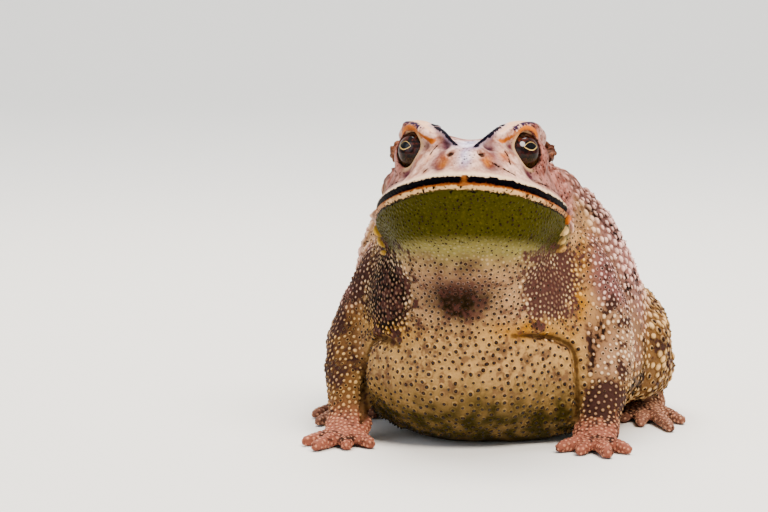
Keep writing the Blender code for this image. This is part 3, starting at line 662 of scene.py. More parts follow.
def makeSkin():
    pieces = [mergedCopy(name) for name in fleshNodes]
    for piece in pieces:
        addModifier(piece, "DISPLACE", strength=flesh["swell"] * mm, mid_level=0.0)
    for side, stations in flesh["shoulders"].items():
        pieces.append(ballAt("orbit", eyeCentre(side), (flesh["orbit"],) * 3))
        pieces.append(tubeThrough("shoulder", [(side * s[0], *s[1:]) for s in stations], False))
    pieces.append(ballAt("throatPouch", *flesh["throatPouch"], 48, 32))
    skin = joinAll("toadSkin", pieces)
    addModifier(skin, "REMESH", mode="VOXEL", voxel_size=flesh["bodyVoxel"] * mm)
    say(f"body surface has {len(skin.data.polygons)} faces")
    weights = partWeights(points(skin))
    fine = weights["hand"] + weights["foot"]
    face = weights["head"] * 0.75
    relax(skin, np.clip(1.0 - fine - face, 0.0, 1.0), flesh["bodyRounds"])
    relax(skin, np.clip(fine + face, 0.0, 1.0), 3, keepSize=True)
    x, y, z = points(skin).T
    relax(skin, smoothStep(27.0, 32.0, z) * smoothStep(43.5, 40.5, z) * smoothStep(-7.0, -12.0, y), 40)
    skin = joinAll("toadSkin", [skin, *headRolls()])
    addModifier(skin, "REMESH", mode="VOXEL", voxel_size=flesh["fineVoxel"] * mm)
    relax(skin, np.ones(len(skin.data.vertices)), 3, keepSize=True)
    say(f"fine surface has {len(skin.data.polygons)} faces")
    sculptHead(skin)
    sculptBelly(skin)
    relax(skin, np.ones(len(skin.data.vertices)), 1, keepSize=True)
    openEyes(skin)
    thin(skin)
    co = points(skin)
    co[:, 2] = np.maximum(co[:, 2], flesh["lowest"])
    setPoints(skin, co)
    say(f"skin has {len(triangles(skin))} triangles")
    return skin


partTrees = searchTrees()
toadSkin = makeSkin()
toadSkin.data.shade_smooth()

# Markings, all placed in the frame: (x, z) of the middle, then half width and half height
marks = dict(
    sidePatches=((-16.3, 30.5, 6.8, 9.6), (17.0, 32.0, 5.2, 7.2)),
    chestBlot=(0.0, 29.7, 5.4, 3.8),
    throatBlot=(0.2, 36.6, 4.6, 3.8),
    purple=(-1.0, 34.0, 7.5, 6.0),
    ochre=((-15.0, 23.5, 6.0, 2.2), (14.0, 24.0, 7.0, 2.2), (22.0, 30.0, 2.0, 9.0)),
    armDark=((-31.0, 16.0, 3.2, 7.0), (-28.5, 23.0, 3.0, 4.0), (27.0, 9.0, 5.0, 5.0),
             (-23.5, 33.0, 3.2, 6.0)),
    throatEnd=(34.5, 43.0),     # the olive of the throat fades out between these heights
)
# Tones of skin, as the ground between the warts and the crown of a wart
tones = dict(
    back=("#4c302a", "#bc9084"),
    flank=("#865a54", "#e8bab0"),
    lowFlank=("#6a4a26", "#cfa76c"),
    throat=("#343000", "#3b3604"),
    throatEdge=("#857344", "#a08b58"),
    chest=("#aa8258", "#d8b88c"),
    belly=("#a8814a", "#cfa468"),
    # the lower belly: its own olive, darkened further with painted shade
    lowBellyShade=("#30280a", "#4a400f"),
    ochre=("#94600f", "#dca23a"),
    purple=("#4a2c34", "#a8808a"),
    limb=("#604020", "#c49a5c"),
    upperArm=("#6a4240", "#d8aca4"),
    hand=("#854c3c", "#b4745a"),
    foot=("#7a5040", "#b88468"),
    gland=("#5a352c", "#a87468"),
    snout=("#96624e", "#deb4a0"),
    cheek=("#66362c", "#a86e62"),
    crown=("#7c5248", "#c09488"),
    # the hollows of the face: painted shade over the skin's mauve
    hollowShade=("#300e18", "#50262e"),
    mauve=("#4e2428", "#825058"),
    bridge=("#9086ac", "#d6cfe6"),
    ochreSnout=("#9a4806", "#cf7c24"),
    temple=("#3c2018", "#7c4c34"),
    throatLow=("#8a7e44", "#968a58"),
    ink=("#140f04", "#2a200a"),
    bruise=("#452822", "#8a6258"),
    # a paler arm: partly the arm's own colour, partly painted light
    paleLitArm=("#9a7454", "#e8ccaa"),
)


def oval(x, z, mark):
    # 1 in the middle of a mark, 0.5 at its edge, 0 well outside
    cx, cz, wide, high = mark
    return np.exp(-0.693 * (((x - cx) / wide) ** 2 + ((z - cz) / high) ** 2) ** 1.15)


def skinFields(co, out, w):
    # what each point of the skin is: masks from 0 to 1, and distances in millimetres
    x, y, z = co.T
    h = inHead(co)
    side = np.abs(h[:, 0])
    rise, angle, left = lipPlace(co)
    drift = noiseAt(co, 7.0, 3.0)
    ripple = noiseAt(co, 2.6, 9.0)
    f = {}
    facing = out[:, 1] + 0.5 * out[:, 2]
    wide = np.abs(x - 0.5) + 1.2 * drift
    f["front"] = (w["torso"] + 0.6 * w["arm"] * smoothStep(24.0, 20.0, wide)) * smoothStep(0.1, -0.3, facing)
    f["front"] *= smoothStep(25.0, 20.5, wide) * smoothStep(30.5, 29.0, y)
    f["front"] = np.clip(f["front"] * 1.3, 0.0, 1.0)
    low, high = marks["throatEnd"]
    onJaw = np.clip(w["jaw"] + f["front"] * smoothStep(38.5, 40.5, z), 0.0, 1.0)
    f["throat"] = onJaw * smoothStep(low, high, z + 2.0 * drift + 0.05 * np.abs(x))
    f["throat"] *= smoothStep(-9.0, -14.0, y)
    f["head"] = np.clip(w["head"] * 1.2, 0.0, 1.0)
    patch = np.max([oval(x, z, mark) for mark in marks["sidePatches"]], axis=0)
    patch *= smoothStep(-2.0, -6.0, y) * smoothStep(0.3, -0.1, out[:, 1])
    arm = np.max([oval(x, z, mark) for mark in marks["armDark"]], axis=0)
    limbs = w["arm"] + w["leg"] + 0.7 * w["hand"] + 0.7 * w["foot"]
    mottle = np.clip(0.42 + 0.34 * noiseAt(co, 4.5, 21.0) + 0.16 * ripple, 0.0, 1.0)
    patch = np.maximum(patch, limbs * np.maximum(arm, 0.9 * mottle))
    onBack = w["torso"] * (1.0 - f["front"])
    patch = np.maximum(patch, onBack * np.clip(0.36 + 0.3 * noiseAt(co, 9.0, 33.0), 0.0, 1.0))
    f["patch"] = patch
    f["patchRed"] = np.clip(f["front"] * smoothStep(8.0, 12.0, x) + 0.6 * limbs, 0.0, 1.0)
    f["onHead"] = headMask(h)
    f["lip"] = smoothStep(-2.0, 3.0, left) * f["onHead"]
    f["rise"] = np.where(f["lip"] > 0, rise, 9.0)
    f["angle"] = angle
    return f, (h, side, drift, ripple)


def lineDistance(co, lines):
    # how far each point is from the nearest of some rolls given in the head's axes, on either side
    best = np.full(len(co), 9.0)
    for stations in lines:
        for side in (1, -1):
            rows = curveThrough(mirroredLine(side, stations), 4)
            place = headPoints(rows[:, :3])
            nearest = np.argmin([np.linalg.norm(co - p, axis=1) for p in place], axis=0)
            best = np.minimum(best, distanceToLine(co, place) - rows[nearest, 3])
    return best


def edgeOf(name, ahead, above):
    # the line that runs along one side of a roll, as stations of no width
    return [(out, forward + ahead * r, up + above * r, 0.0) for out, forward, up, r in faceForms[name]]


def onSkin(places):
    # the nearest points of the skin
    return np.array([skinTree.find_nearest(p * mm)[0] for p in places]) / mm


def markDistance(co, lines):
    # how far each point is from marks that lie on the skin
    best = np.full(len(co), 9.0)
    for line in lines:
        place = onSkin(headPoints(curveThrough(line, 4)))
        best = np.minimum(best, distanceToLine(co, place))
    return best


def skinTones(co, out, w, f, extra):
    # the ground and crown colours of each point, as linear values
    x, y, z = co.T
    h, side, drift, ripple = extra
    table = {name: [np.array(hexColour(tone)[:3]) for tone in pair] for name, pair in tones.items()}
    found = [np.tile(tone, (len(co), 1)) for tone in table["back"]]

    def lay(name, share):
        share = np.clip(share, 0.0, 1.0)[:, None]
        for i in (0, 1):
            found[i] = mix(found[i], table[name][i], share)

    lay("flank", smoothStep(52.0, 36.0, z + 3 * drift) * smoothStep(0.9, 0.5, out[:, 2]))
    lay("lowFlank", smoothStep(36.0, 12.0, z + 6 * drift))
    lay("gland", w["gland"])
    lay("limb", w["arm"] + w["leg"])
    # the toad's left forearm paler and pinker: partly its own tone, partly painted light on the side the
    # light falls on
    lay("paleLitArm", w["arm"] * smoothStep(15.0, 20.0, x) * smoothStep(10.0, 16.0, z))
    lay("upperArm", w["arm"] * smoothStep(22.0, 30.0, z + 2 * drift) * smoothStep(19.0, 21.0, np.abs(x)))
    lay("lowFlank", w["leg"] * smoothStep(0.1, -0.4, out[:, 1]))
    lay("hand", w["hand"])
    lay("foot", w["foot"])
    front = f["front"]
    lay("belly", front)
    lay("chest", front * smoothStep(22.0, 28.0, z + 1.5 * drift))
    # painted shade: the belly's olive darkens further towards the ground
    lay("lowBellyShade", front * smoothStep(19.0, 4.0, z + drift) * (0.95 + 0.3 * ripple))
    for mark in marks["ochre"]:
        lay("ochre", (front + w["arm"]) * oval(x, z, mark) * (0.75 + 0.4 * ripple))
    lay("purple", front * oval(x, z, marks["purple"]) * 0.5)
    lay("ink", front * oval(x, z, marks["chestBlot"]) * (1.3 + 0.4 * ripple))
    lay("bruise", front * oval(x, z, marks["throatBlot"]) * (1.0 + 0.9 * ripple))
    jaw = np.clip(w["jaw"] + front * smoothStep(37.0, 41.0, z), 0, 1)
    lay("throatEdge", 0.8 * jaw * smoothStep(-9.0, -14.0, y))
    lay("throat", f["throat"])
    lay("throatLow", f["throat"] * smoothStep(48.5, 41.0, z + drift) * 0.75)
    onHead = f["head"]
    lay("cheek", onHead)
    lay("crown", onHead * smoothStep(9.5, 11.5, h[:, 2]) * smoothStep(14.0, 10.0, h[:, 1]))
    face = onHead * smoothStep(14.0, 18.5, h[:, 1] + 0.8 * ripple)
    lay("snout", face)
    folded = np.column_stack([side, h[:, 1:]])
    lay("mauve", face * bell(distanceToLine(folded, np.array(snoutStripe)), 1.7) * (0.75 + 0.55 * ripple))
    # painted shade in the hollows of the snout and under the eyes, tinged mauve
    for fx, fy, fz, width, _ in faceHollows[:-1]:
        for s in (1, -1):
            away = np.linalg.norm(h - (s * fx, fy, fz), axis=1)
            lay("hollowShade", onHead * bell(away, width * 1.25) * (1.05 + 0.35 * ripple))
    lay("ochreSnout", face * bell(np.hypot(side - 4.2, h[:, 2] - 4.4), 1.2) * (0.6 + 0.6 * ripple))
    away = np.linalg.norm(folded - (7.2, 21.4, 5.8), axis=1)
    lay("ochreSnout", face * bell(away, 1.3) * (0.7 + 0.5 * ripple))
    lay("bridge", face * bell(side, 2.1) * smoothStep(3.0, 5.5, h[:, 2]) * smoothStep(25.5, 21.5, h[:, 1]))
    lay("bridge", face * bell(side, 1.2) * smoothStep(1.0, 2.5, h[:, 2]) * (0.35 + 0.5 * ripple))
    lay("temple", smoothStep(0.9, 0.1, lineDistance(co, [faceForms["backRidge"][2:], faceForms["temple"]])))
    lay("throat", f["lip"] * smoothStep(-1.1, -1.6, f["rise"]))
    return found


def addFloat(obj, name, values):
    layer = obj.data.attributes.new(name, "FLOAT", "POINT")
    layer.data.foreach_set("value", np.ascontiguousarray(values, dtype=np.float32))


def addColour(obj, name, values):
    layer = obj.data.attributes.new(name, "FLOAT_COLOR", "POINT")
    full = np.ones((len(values), 4), np.float32)
    full[:, :3] = values
    layer.data.foreach_set("color", full.ravel())


def eyeMargin(co):
    # 1 at the edge of the gap between the lids, a mask of its inner side, and how far the upper lid's edge is
    best = np.full(len(co), 9.0)
    pale = np.zeros(len(co))
    above = np.full(len(co), 9.0)
    for side in (1, -1):
        oval, offset, distance = eyeOval(co, side)
        near = (offset[:, 2] > 0) & (distance < 8.0) & (oval < best)
        best = np.where(near, oval, best)
        turn = side * offset[:, 0] + offset[:, 1] * 0.3
        pale = np.where(near, smoothStep(-0.6, -2.4, turn), pale)
        edge = np.abs(oval - 1.15) * 6.0 + 9.0 * smoothStep(2.3, 1.3, offset[:, 1])
        above = np.where(near, edge, above)
    return best, pale, above


def creaseDistance(co):
    # how far each point of the body's front is from the creases, seen from the front
    best = np.full(len(co), 9.0)
    for stations in creases["lines"].values():
        away = distanceToLine(co[:, [0, 2]], curveThrough(stations, 4))
        best = np.where((co[:, 1] < 3.0) & (co[:, 2] > 3.5), np.minimum(best, away), best)
    return best


skinTree = BVHTree.FromObject(toadSkin, bpy.context.evaluated_depsgraph_get())
skinPoints = points(toadSkin)
skinNormals = normals(toadSkin)
skinWeights = partWeights(skinPoints)
fields, extra = skinFields(skinPoints, skinNormals, skinWeights)
ground, crown = skinTones(skinPoints, skinNormals, skinWeights, fields, extra)
headSpot = extra[0]
lidTop = smoothStep(1.6, 0.4, lineDistance(skinPoints, [faceForms["upperLid"]]))
lidTop *= smoothStep(6.0, 10.5, headSpot[:, 1])
rimOval, rimPale, lidBand = eyeMargin(skinPoints)
nostrilSpots = headPoints([(side * faceDetail["nostril"][0], *faceDetail["nostril"][1:]) for side in (1, -1)])
nostrilAway = np.min([np.linalg.norm(skinPoints - spot, axis=1) for spot in nostrilSpots], axis=0)
skinLayers = dict(
    patch=fields["patch"],
    patchRed=fields["patchRed"],
    lip=fields["lip"],
    rise=np.clip(fields["rise"], -9.0, 9.0),
    cornerward=smoothStep(15.0, 75.0, fields["angle"]),
    middle=bell(np.abs(headSpot[:, 0]), 0.75),
    crest=lineDistance(skinPoints, [edgeOf(name, 0.35, 0.75)[:last] for name, last in crestForms.items()]),
    lid=lidTop * fields["onHead"],
    lidEdge=np.minimum(lineDistance(skinPoints, [edgeOf("lidEdge", 0.35, -0.6)]), lidBand),
    lace=markDistance(skinPoints, [mirroredLine(side, lidLace) for side in (1, -1)]),
    dash=markDistance(skinPoints, faceDashes),
    # where the skin faces down: the mask of the painted shade under the lid's edge
    facingDown=smoothStep(0.35, -0.35, skinNormals[:, 2]),
    eyeRim=rimOval,
    rimPale=rimPale,
    nostril=np.minimum(nostrilAway, 9.0),
    crease=creaseDistance(skinPoints),
    stain=fields["front"] * smoothStep(8.0, 14.0, skinPoints[:, 2]),
    faceMask=fields["head"] * (1.0 - fields["lip"] * smoothStep(-1.1, -1.6, fields["rise"])),
    speckle=np.clip(
        fields["head"] * smoothStep(19.5, 16.0, headSpot[:, 1]) * 0.95 + fields["throat"] * 0.75
        + fields["head"] * bell(np.abs(headSpot[:, 0]), 3.0) * 0.85 + skinWeights["gland"] * 0.5, 0, 1),
    raised=np.zeros(len(skinPoints)),
    tipped=np.zeros(len(skinPoints)),
    tint=np.zeros(len(skinPoints)),
)


def paint(obj, layers, groundTone, crownTone):
    for name, values in layers.items():
        addFloat(obj, name, values)
    addColour(obj, "groundTone", groundTone)
    addColour(obj, "crownTone", crownTone)


paint(toadSkin, skinLayers, ground, crown)
say("skin is painted")

# Amphibian skin, moist but not wet: a satin sheen, soft light through it, fine pebbling all over
skinLook = dict(
    grain=0.28, grainDepth=0.06, pebble=0.62, pebbleDepth=0.10,
    roughness=(0.42, 0.68), sheen=0.32, softness=0.07,
    crest="#0c0916", crestPale="#8f86a8", lipBlack="#040307", lipCream="#e6c69e", lipPink="#cb967e",
    lipOrange="#4c1c06", lipRust="#8a4a14", lipLow="#c99e66", notch="#7a4416",
    patchGround="#0c0604", patchMauve="#462c26", patchCrown="#8a6a50",
    speck="#0c0707", tip="#22120a", stain="#4a2c26",
    # painted shade: the tone under the lid's edge, where it faces down
    lidTone="#e2b088", lidEdge="#c0660f", lidUnderShade="#8a4408", lace="#2c1c33",
    # the last three tones on the next line are painted shade: the inside of the socket, the nostrils and the
    # creases
    eyeRing="#b8966a", inside="#2a120c", nostril="#2e160c", creaseShade="#3a220c",
)
# Bands of the lips: (height above the line of the mouth, tone, how fully it covers the skin)
lipBands = (
    (-4.0, "lipLow", 0.0), (-1.85, "lipBlack", 0.0), (-1.75, "lipBlack", 0.95), (-1.5, "lipBlack", 0.95),
    (-1.4, "lipLow", 1.0), (-0.9, "lipLow", 1.0), (-0.72, "lipRust", 1.0), (-0.1, "lipOrange", 1.0),
    (0.0, "lipBlack", 1.0), (0.98, "lipBlack", 1.0), (1.1, "lipCream", 1.0), (1.7, "lipCream", 0.85),
    (2.3, "lipPink", 0.35), (2.9, "lipPink", 0.0),
)
lipSpan = (-4.0, 6.0)
mixed, smooth = {"data_type": "RGBA"}, {"interpolation_type": "SMOOTHSTEP"}
plus, less, times, plusTimes, within = (
    {"operation": kind} for kind in ("ADD", "SUBTRACT", "MULTIPLY", "MULTIPLY_ADD", "COMPARE"))


def ragged(node, field, noise, amount, start, stop):
    # a mask with a ragged edge: the field shaken by noise, then a smooth step from start to stop
    return node("MapRange", smooth, (node("Math", plusTimes, (noise, amount, field)), start, stop))


def inMillimetres(node):
    return node("VectorMath", {"operation": "SCALE"}, {0: node("TexCoord", give="Object"), "Scale": 1 / mm})


def bodyColour(node, mask, look, read, noises):
    # the skin's own colour, between its warts and on them
    wide, broken, fine, soft = noises
    groundTone, crownTone = (
        node("Attribute", {"attribute_name": name}, give="Color") for name in ("groundTone", "crownTone"))
    # dark patches: the ground darkens first, and the crowns of the warts only in the heart of a patch
    uneven = node("Math", plusTimes, (wide, 0.9, node("Math", plusTimes, (broken, 1.2, read["patch"]))))
    patchLow = node("MapRange", smooth, (uneven, 0.28, 0.62))
    patchHigh = node("MapRange", smooth, (uneven, 0.5, 0.92))
    patchTone = node("Mix", mixed, {0: read["patchRed"], 6: look["patchGround"], 7: look["patchMauve"]}, 2)
    low = node("Mix", mixed, {0: patchLow, 6: groundTone, 7: patchTone}, 2)
    high = node("Mix", mixed, {0: patchHigh, 6: crownTone, 7: look["patchCrown"]}, 2)
    topFrom, topTo = (node("Math", plusTimes, (patchLow, *line)) for line in ((0.2, 0.28), (0.12, 0.92)))
    top = mask(read["raised"], broken, 0.45, topFrom, topTo)
    # the face has no warts, so it shows both tones in soft clouds
    clouds = mask(soft, fine, 0.35, -0.2, 0.2)
    warty, cloudy = (node("Mix", mixed, {0: share, 6: low, 7: high}, 2) for share in (top, clouds))
    colour = node("Mix", mixed, {0: read["faceMask"], 6: warty, 7: cloudy}, 2)
    # brown stains between the granules of the belly and chest
    stain = node("MapRange", smooth, (node("Math", plus, (wide, broken)), -0.04, 0.18))
    stain = node("Math", times, (node("Math", times, (stain, read["stain"])), 0.7))
    colour = node("Mix", mixed, {0: stain, 6: colour, 7: look["stain"]}, 2)
    # every tone drifts a little, from wart to wart and within each
    shade = 1.0
    for drift, amount in ((broken, 0.55), (fine, 0.5), (read["tint"], 0.13)):
        shade = node("Math", plusTimes, (drift, amount, shade))
    shade = node("CombineColor", {}, (shade, shade, shade))
    return node("Mix", {"data_type": "RGBA", "blend_type": "MULTIPLY"}, {0: 1.0, 6: colour, 7: shade}, 2)


def faceMarks(node, mask, look, read, noises):
    fine, soft = noises[2:]
    # the dark tip of a granule round its spine
    tip = node("Math", times, (mask(read["raised"], fine, 0.35, 0.58, 0.84), read["tipped"]))
    # specks of black on the cheeks, the bridge of the snout and the throat
    cells = node("TexVoronoi", {}, {"Vector": inMillimetres(node), "Scale": 1 / 0.85})
    size = node("MapRange", {}, (read["speckle"], 0.0, 1.0, -0.02, 0.35))
    speck = node("Math", less, (node("Math", plusTimes, (fine, 0.5, size)), cells))
    speck = node("Math", times, (node("MapRange", smooth, (speck, 0.0, 0.1)), 0.9))
    # lids: a peach top with a line of dark lace, and an orange edge that turns to painted shade, dark brown,
    # where its underside faces down
    lid = node("Math", times, (mask(read["lid"], fine, 0.35, 0.4, 0.8), 0.85))
    lace = mask(read["lace"], fine, 3.2, 0.6, 0.35)
    edge = mask(read["lidEdge"], fine, 0.4, 0.82, 0.5)
    edgeTone = node("Mix", mixed, {0: read["facingDown"], 6: look["lidEdge"], 7: look["lidUnderShade"]}, 2)
    dash = mask(read["dash"], fine, 0.5, 0.32, 0.14)
    # crests: bare blue-black horn with a pale bloom beside it
    crest = node("Math", plusTimes, (fine, 0.9, node("Math", plusTimes, (soft, 0.9, read["crest"]))))
    bloom = node("Math", times, (node("MapRange", smooth, (crest, 1.5, 0.5)), 0.5))
    crest = node("MapRange", smooth, (crest, 0.74, 0.5))
    return (
        (tip, look["tip"]), (speck, look["speck"]), (lid, look["lidTone"]), (lace, look["lace"]),
        (edge, edgeTone), (dash, look["speck"]), (bloom, look["crestPale"]), (crest, look["crest"]),
    )


def lipMarks(node, mask, look, read, noises):
    # bands one under another, by height above the line of the mouth
    wide, broken, fine, soft = noises
    height = node("Math", plusTimes, (broken, 0.9, node("Math", plusTimes, (fine, 0.9, read["rise"]))))
    ramp = node("ValToRGB", {}, (node("MapRange", {}, (height, *lipSpan)),), "Color")
    elements = ramp.node.color_ramp.elements
    while len(elements) > 1:
        elements.remove(elements[0])
    for i, (at, tone, strength) in enumerate(lipBands):
        share = (at - lipSpan[0]) / (lipSpan[1] - lipSpan[0])
        element = elements[0] if i == 0 else elements.new(share)
        element.position = share
        element.color = (*look[tone][:3], strength)
    # the cream is worn in places, and the dark line under the lower band only dotted near the middle
    worn = node("MapRange", {}, (soft, -0.15, 0.15, 1.0, 0.72))
    dotted = node("Math", plusTimes, (broken, 2.2, read["cornerward"]))
    dotted = node("MapRange", smooth, (dotted, 0.0, 0.25, 0.1, 1.0))
    lips = node("Math", times, (ramp.node.outputs["Alpha"], read["lip"]))
    for strength, start, stop in ((worn, 0.9, 1.2), (dotted, -1.4, -1.5)):
        where = node("MapRange", {}, (height, start, stop))
        left = node("Mix", {"data_type": "FLOAT"}, {0: where, 2: 1.0, 3: strength})
        lips = node("Math", times, (lips, left))
    # rust towards the corners, and an orange notch in the middle of the upper lip
    rusty = mask(soft, read["cornerward"], 0.35, 0.06, 0.3)
    rusty = node("Math", times, (rusty, node("Math", within, (height, -0.9, 0.55))))
    rusty = node("Math", times, (rusty, node("Math", times, (read["lip"], 0.75))))
    notch = mask(read["middle"], fine, 1.2, 0.3, 0.95)
    notch = node("Math", times, (notch, node("Math", within, (height, 0.3, 1.0))))
    notch = node("Math", times, (notch, read["lip"]))
    # a thin broken line over the cream band, and ticks across the band under the mouth
    line = node("Math", within, (height, 3.15, 0.16))
    for limit in ((read["cornerward"], 0.25, 0.6), (wide, -0.1, 0.02)):
        line = node("Math", times, (line, node("MapRange", smooth, limit)))
    ticks = node("Math", within, (height, -1.05, 0.4))
    ticks = node("Math", times, (ticks, node("MapRange", smooth, (broken, 0.05, 0.12))))
    line = node("Math", times, (node("Math", plus, (line, ticks)), read["lip"]))
    return (lips, ramp), (rusty, look["lipRust"]), (notch, look["notch"]), (line, look["lipBlack"])


def openingMarks(node, mask, look, read, noises):
    # the pale inner margin of the lids, then painted shade: dark in the gap round each eye, in the nostrils
    # and along the creases
    broken, fine = noises[1:3]
    rim = node("Math", plusTimes, (fine, 0.12, read["eyeRim"]))
    pale = node("Math", times, (node("MapRange", smooth, (rim, 1.3, 1.1)), read["rimPale"]))
    pale = node("Math", times, (pale, 0.7))
    # painted shade inside the socket, at the edge of the gap round the eye
    inside = node("MapRange", smooth, (rim, 1.03, 0.93))
    # painted shade in each nostril
    nostrilShade = mask(read["nostril"], fine, 0.6, 1.05, 0.5)
    # painted shade along each crease of the belly
    fold = node("Math", times, (mask(read["crease"], broken, 0.9, 0.6, 0.1), 0.8))
    return (
        (pale, look["eyeRing"]), (inside, look["inside"]), (nostrilShade, look["nostril"]), (fold, look["creaseShade"]),
    )


def makeSkinMaterial():
    made, tree, shader = newMaterial("moist granular toad skin")
    node = partial(addNode, tree)
    place = inMillimetres(node)
    shifted = node("VectorMath", plus, (place, (40.0, 17.0, 9.0)))
    # noises of four sizes in millimetres, wide, broken, fine and soft, each centred on nothing
    sizes = ((place, 3.2, 2.0), (place, 1.1, 3.0), (shifted, 0.5, 3.0), (shifted, 2.3, 2.0))
    noises = [
        node("Math", less, (node("TexNoise", {}, {"Vector": at, "Scale": 1 / size, "Detail": detail}), 0.5))
        for at, size, detail in sizes]
    look = {key: hexColour(tone) for key, tone in skinLook.items() if isinstance(tone, str)}
    read = {name: node("Attribute", {"attribute_name": name}, give="Fac") for name in skinLayers}
    kit = node, partial(ragged, node), look, read, noises
    # the marks lie over the body's colour, one over another
    colour = bodyColour(*kit)
    for share, tone in (*faceMarks(*kit), *lipMarks(*kit), *openingMarks(*kit)):
        colour = node("Mix", mixed, {0: share, 6: colour, 7: tone}, 2)
    # the sheen takes the skin's own colour, and dark skin has less of it
    sheen = node("MapRange", {}, (node("RGBToBW", {}, (colour,)), 0.0, 0.3, 0.02, skinLook["sheen"]))
    tint = node("Mix", mixed, {0: 0.75, 6: (1.0, 1.0, 1.0, 1.0), 7: colour}, 2)
    roughness = node("MapRange", {}, (noises[2], -0.35, 0.35, *skinLook["roughness"]))
    pebbles = node("TexVoronoi", {"feature": "SMOOTH_F1"}, {"Vector": place, "Scale": 1 / skinLook["pebble"]})
    grain = node("TexNoise", {}, {"Vector": place, "Scale": 1 / skinLook["grain"], "Detail": 3.0})
    bump = node("Bump", {"invert": True}, {
        "Height": pebbles, "Distance": skinLook["pebbleDepth"] * mm, "Strength": 0.8})
    bump = node("Bump", {}, {
        "Height": grain, "Distance": skinLook["grainDepth"] * mm, "Strength": 0.9, "Normal": bump})
    for name, value in {
        "Base Color": colour, "Roughness": roughness, "Normal": bump,
        "Specular Tint": tint, "Specular IOR Level": sheen,
    }.items():
        tree.links.new(value, shader.inputs[name])
    shader.inputs["Subsurface Weight"].default_value = skinLook["softness"]
    shader.inputs["Subsurface Radius"].default_value = (1.0, 0.45, 0.3)
    shader.inputs["Subsurface Scale"].default_value = 0.8 * mm
    return made


def dress(obj, material):
    # one material all over, whatever slots the joins and cuts left behind
    obj.data.materials.clear()
    obj.data.materials.append(material)
    obj.data.polygons.foreach_set("material_index", np.zeros(len(obj.data.polygons), np.int32))
    obj.data.shade_smooth()


skinMaterial = makeSkinMaterial()
dress(toadSkin, skinMaterial)
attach(toadSkin, bodyName)
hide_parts(*fleshNodes)

# Granules and warts by kind of skin: spacing in millimetres, width and height as shares of the spacing,
# steepness, the share of them that bear a spine, and the spine's radius
wartKinds = dict(
    back=(1.95, 0.48, 0.34, 0.78, 0.35, 0.15),
    belly=(1.52, 0.52, 0.20, 1.0, 1.0, 0.24),
    chest=(1.14, 0.52, 0.22, 0.95, 1.0, 0.17),
    patch=(1.06, 0.52, 0.26, 0.8, 0.25, 0.14),
    throat=(0.95, 0.48, 0.10, 1.2, 0.3, 0.09),
    arm=(1.16, 0.47, 0.24, 0.9, 0.35, 0.12),
    leg=(1.9, 0.53, 0.28, 0.75, 0.4, 0.15),
    hand=(0.95, 0.52, 0.14, 0.95, 0.0, 0.08),
    gland=(2.4, 0.50, 0.10, 1.2, 0.0, 0.1),
    nape=(1.6, 0.50, 0.22, 0.9, 0.4, 0.13),
)
wartNames = np.array(list(wartKinds))
wartTable = np.array(list(wartKinds.values()))
wartCloud = dict(
    seed=5, candidates=9, closest=0.78, evening=3, sizes=(0.76, 1.2), large=(0.1, 1.3), sunk=0.05,
    sides=8, rings=(0.42, 0.76, 1.0), wobble=0.07, patchSpines=0.3,
)
spineShape = dict(sides=6, rings=((0.72, 0.62), (1.0, 0.0)), tall=1.05, sunk=0.05)
# The two rows of large warts down the back: share of the way from neck to vent, and angle from the ridge
backRows = dict(stations=(0.2, 0.3, 0.4, 0.5, 0.6, 0.7, 0.79), angle=24.0, radius=2.3, height=1.15)
# Chain of beads behind each corner of the mouth: (x, y, z, radius, stretch, tone)
jawBeads = (
    (-18.8, -15.0, 45.0, 1.35, 1.1, "#d0a486"), (-18.0, -15.8, 42.2, 1.1, 1.7, "#c2942c"),
    (-17.6, -14.4, 39.8, 1.05, 1.7, "#c89c34"), (-16.6, -14.8, 37.8, 1.0, 1.5, "#c09230"),
    (19.8, -12.8, 46.3, 1.4, 1.0, "#a8766c"), (19.7, -15.6, 45.0, 1.05, 1.2, "#b85e0c"),
    (19.2, -15.8, 42.8, 1.15, 1.2, "#d4b070"), (18.9, -14.2, 40.6, 1.1, 1.2, "#c8a25c"),
    (18.8, -13.0, 38.8, 1.15, 1.5, "#c4924a"),
)
# Each piece with its kinds of skin and its slot
wartPieces = dict(
    backWarts=(("back", "nape", "gland"), "back_skin"),
    bellyGranules=(("belly", "chest", "patch"), "back_skin"),
    throatGranules=(("throat",), "throat_skin"),
    limbGranules=(("arm", "leg"), "limb_skin"),
    handGranules=(("hand",), "limb_skin"),
)


def wartPlan():
    # the kind of skin each point has, and where warts grow
    w = skinWeights
    front = fields["front"]
    x, y, z = skinPoints.T
    chest = smoothStep(21.0, 25.0, z)
    inPatch = smoothStep(0.35, 0.6, fields["patch"])
    shares = dict(
        back=w["torso"] * (1 - front),
        belly=front * (1 - chest),
        chest=front * chest * (1 - inPatch),
        patch=front * inPatch,
        throat=(w["jaw"] + fields["throat"]) * smoothStep(-9.0, -14.0, y),
        arm=w["arm"],
        leg=w["leg"],
        hand=w["hand"] + w["foot"],
        gland=w["gland"],
        nape=w["head"],
    )
    kind = np.argmax([shares[name] for name in wartKinds], axis=0)
    bare = (fields["lip"] > 0.05) & (np.abs(fields["rise"] - 0.7) < 2.9)
    bare |= (wartNames[kind] == "nape") & (headSpot[:, 1] > 3.0)
    bare |= (skinNormals[:, 2] < -0.6) & (z < 1.6)
    bare |= skinLayers["eyeRim"] < 1.7
    bare |= skinLayers["crease"] < 0.75
    return kind, ~bare


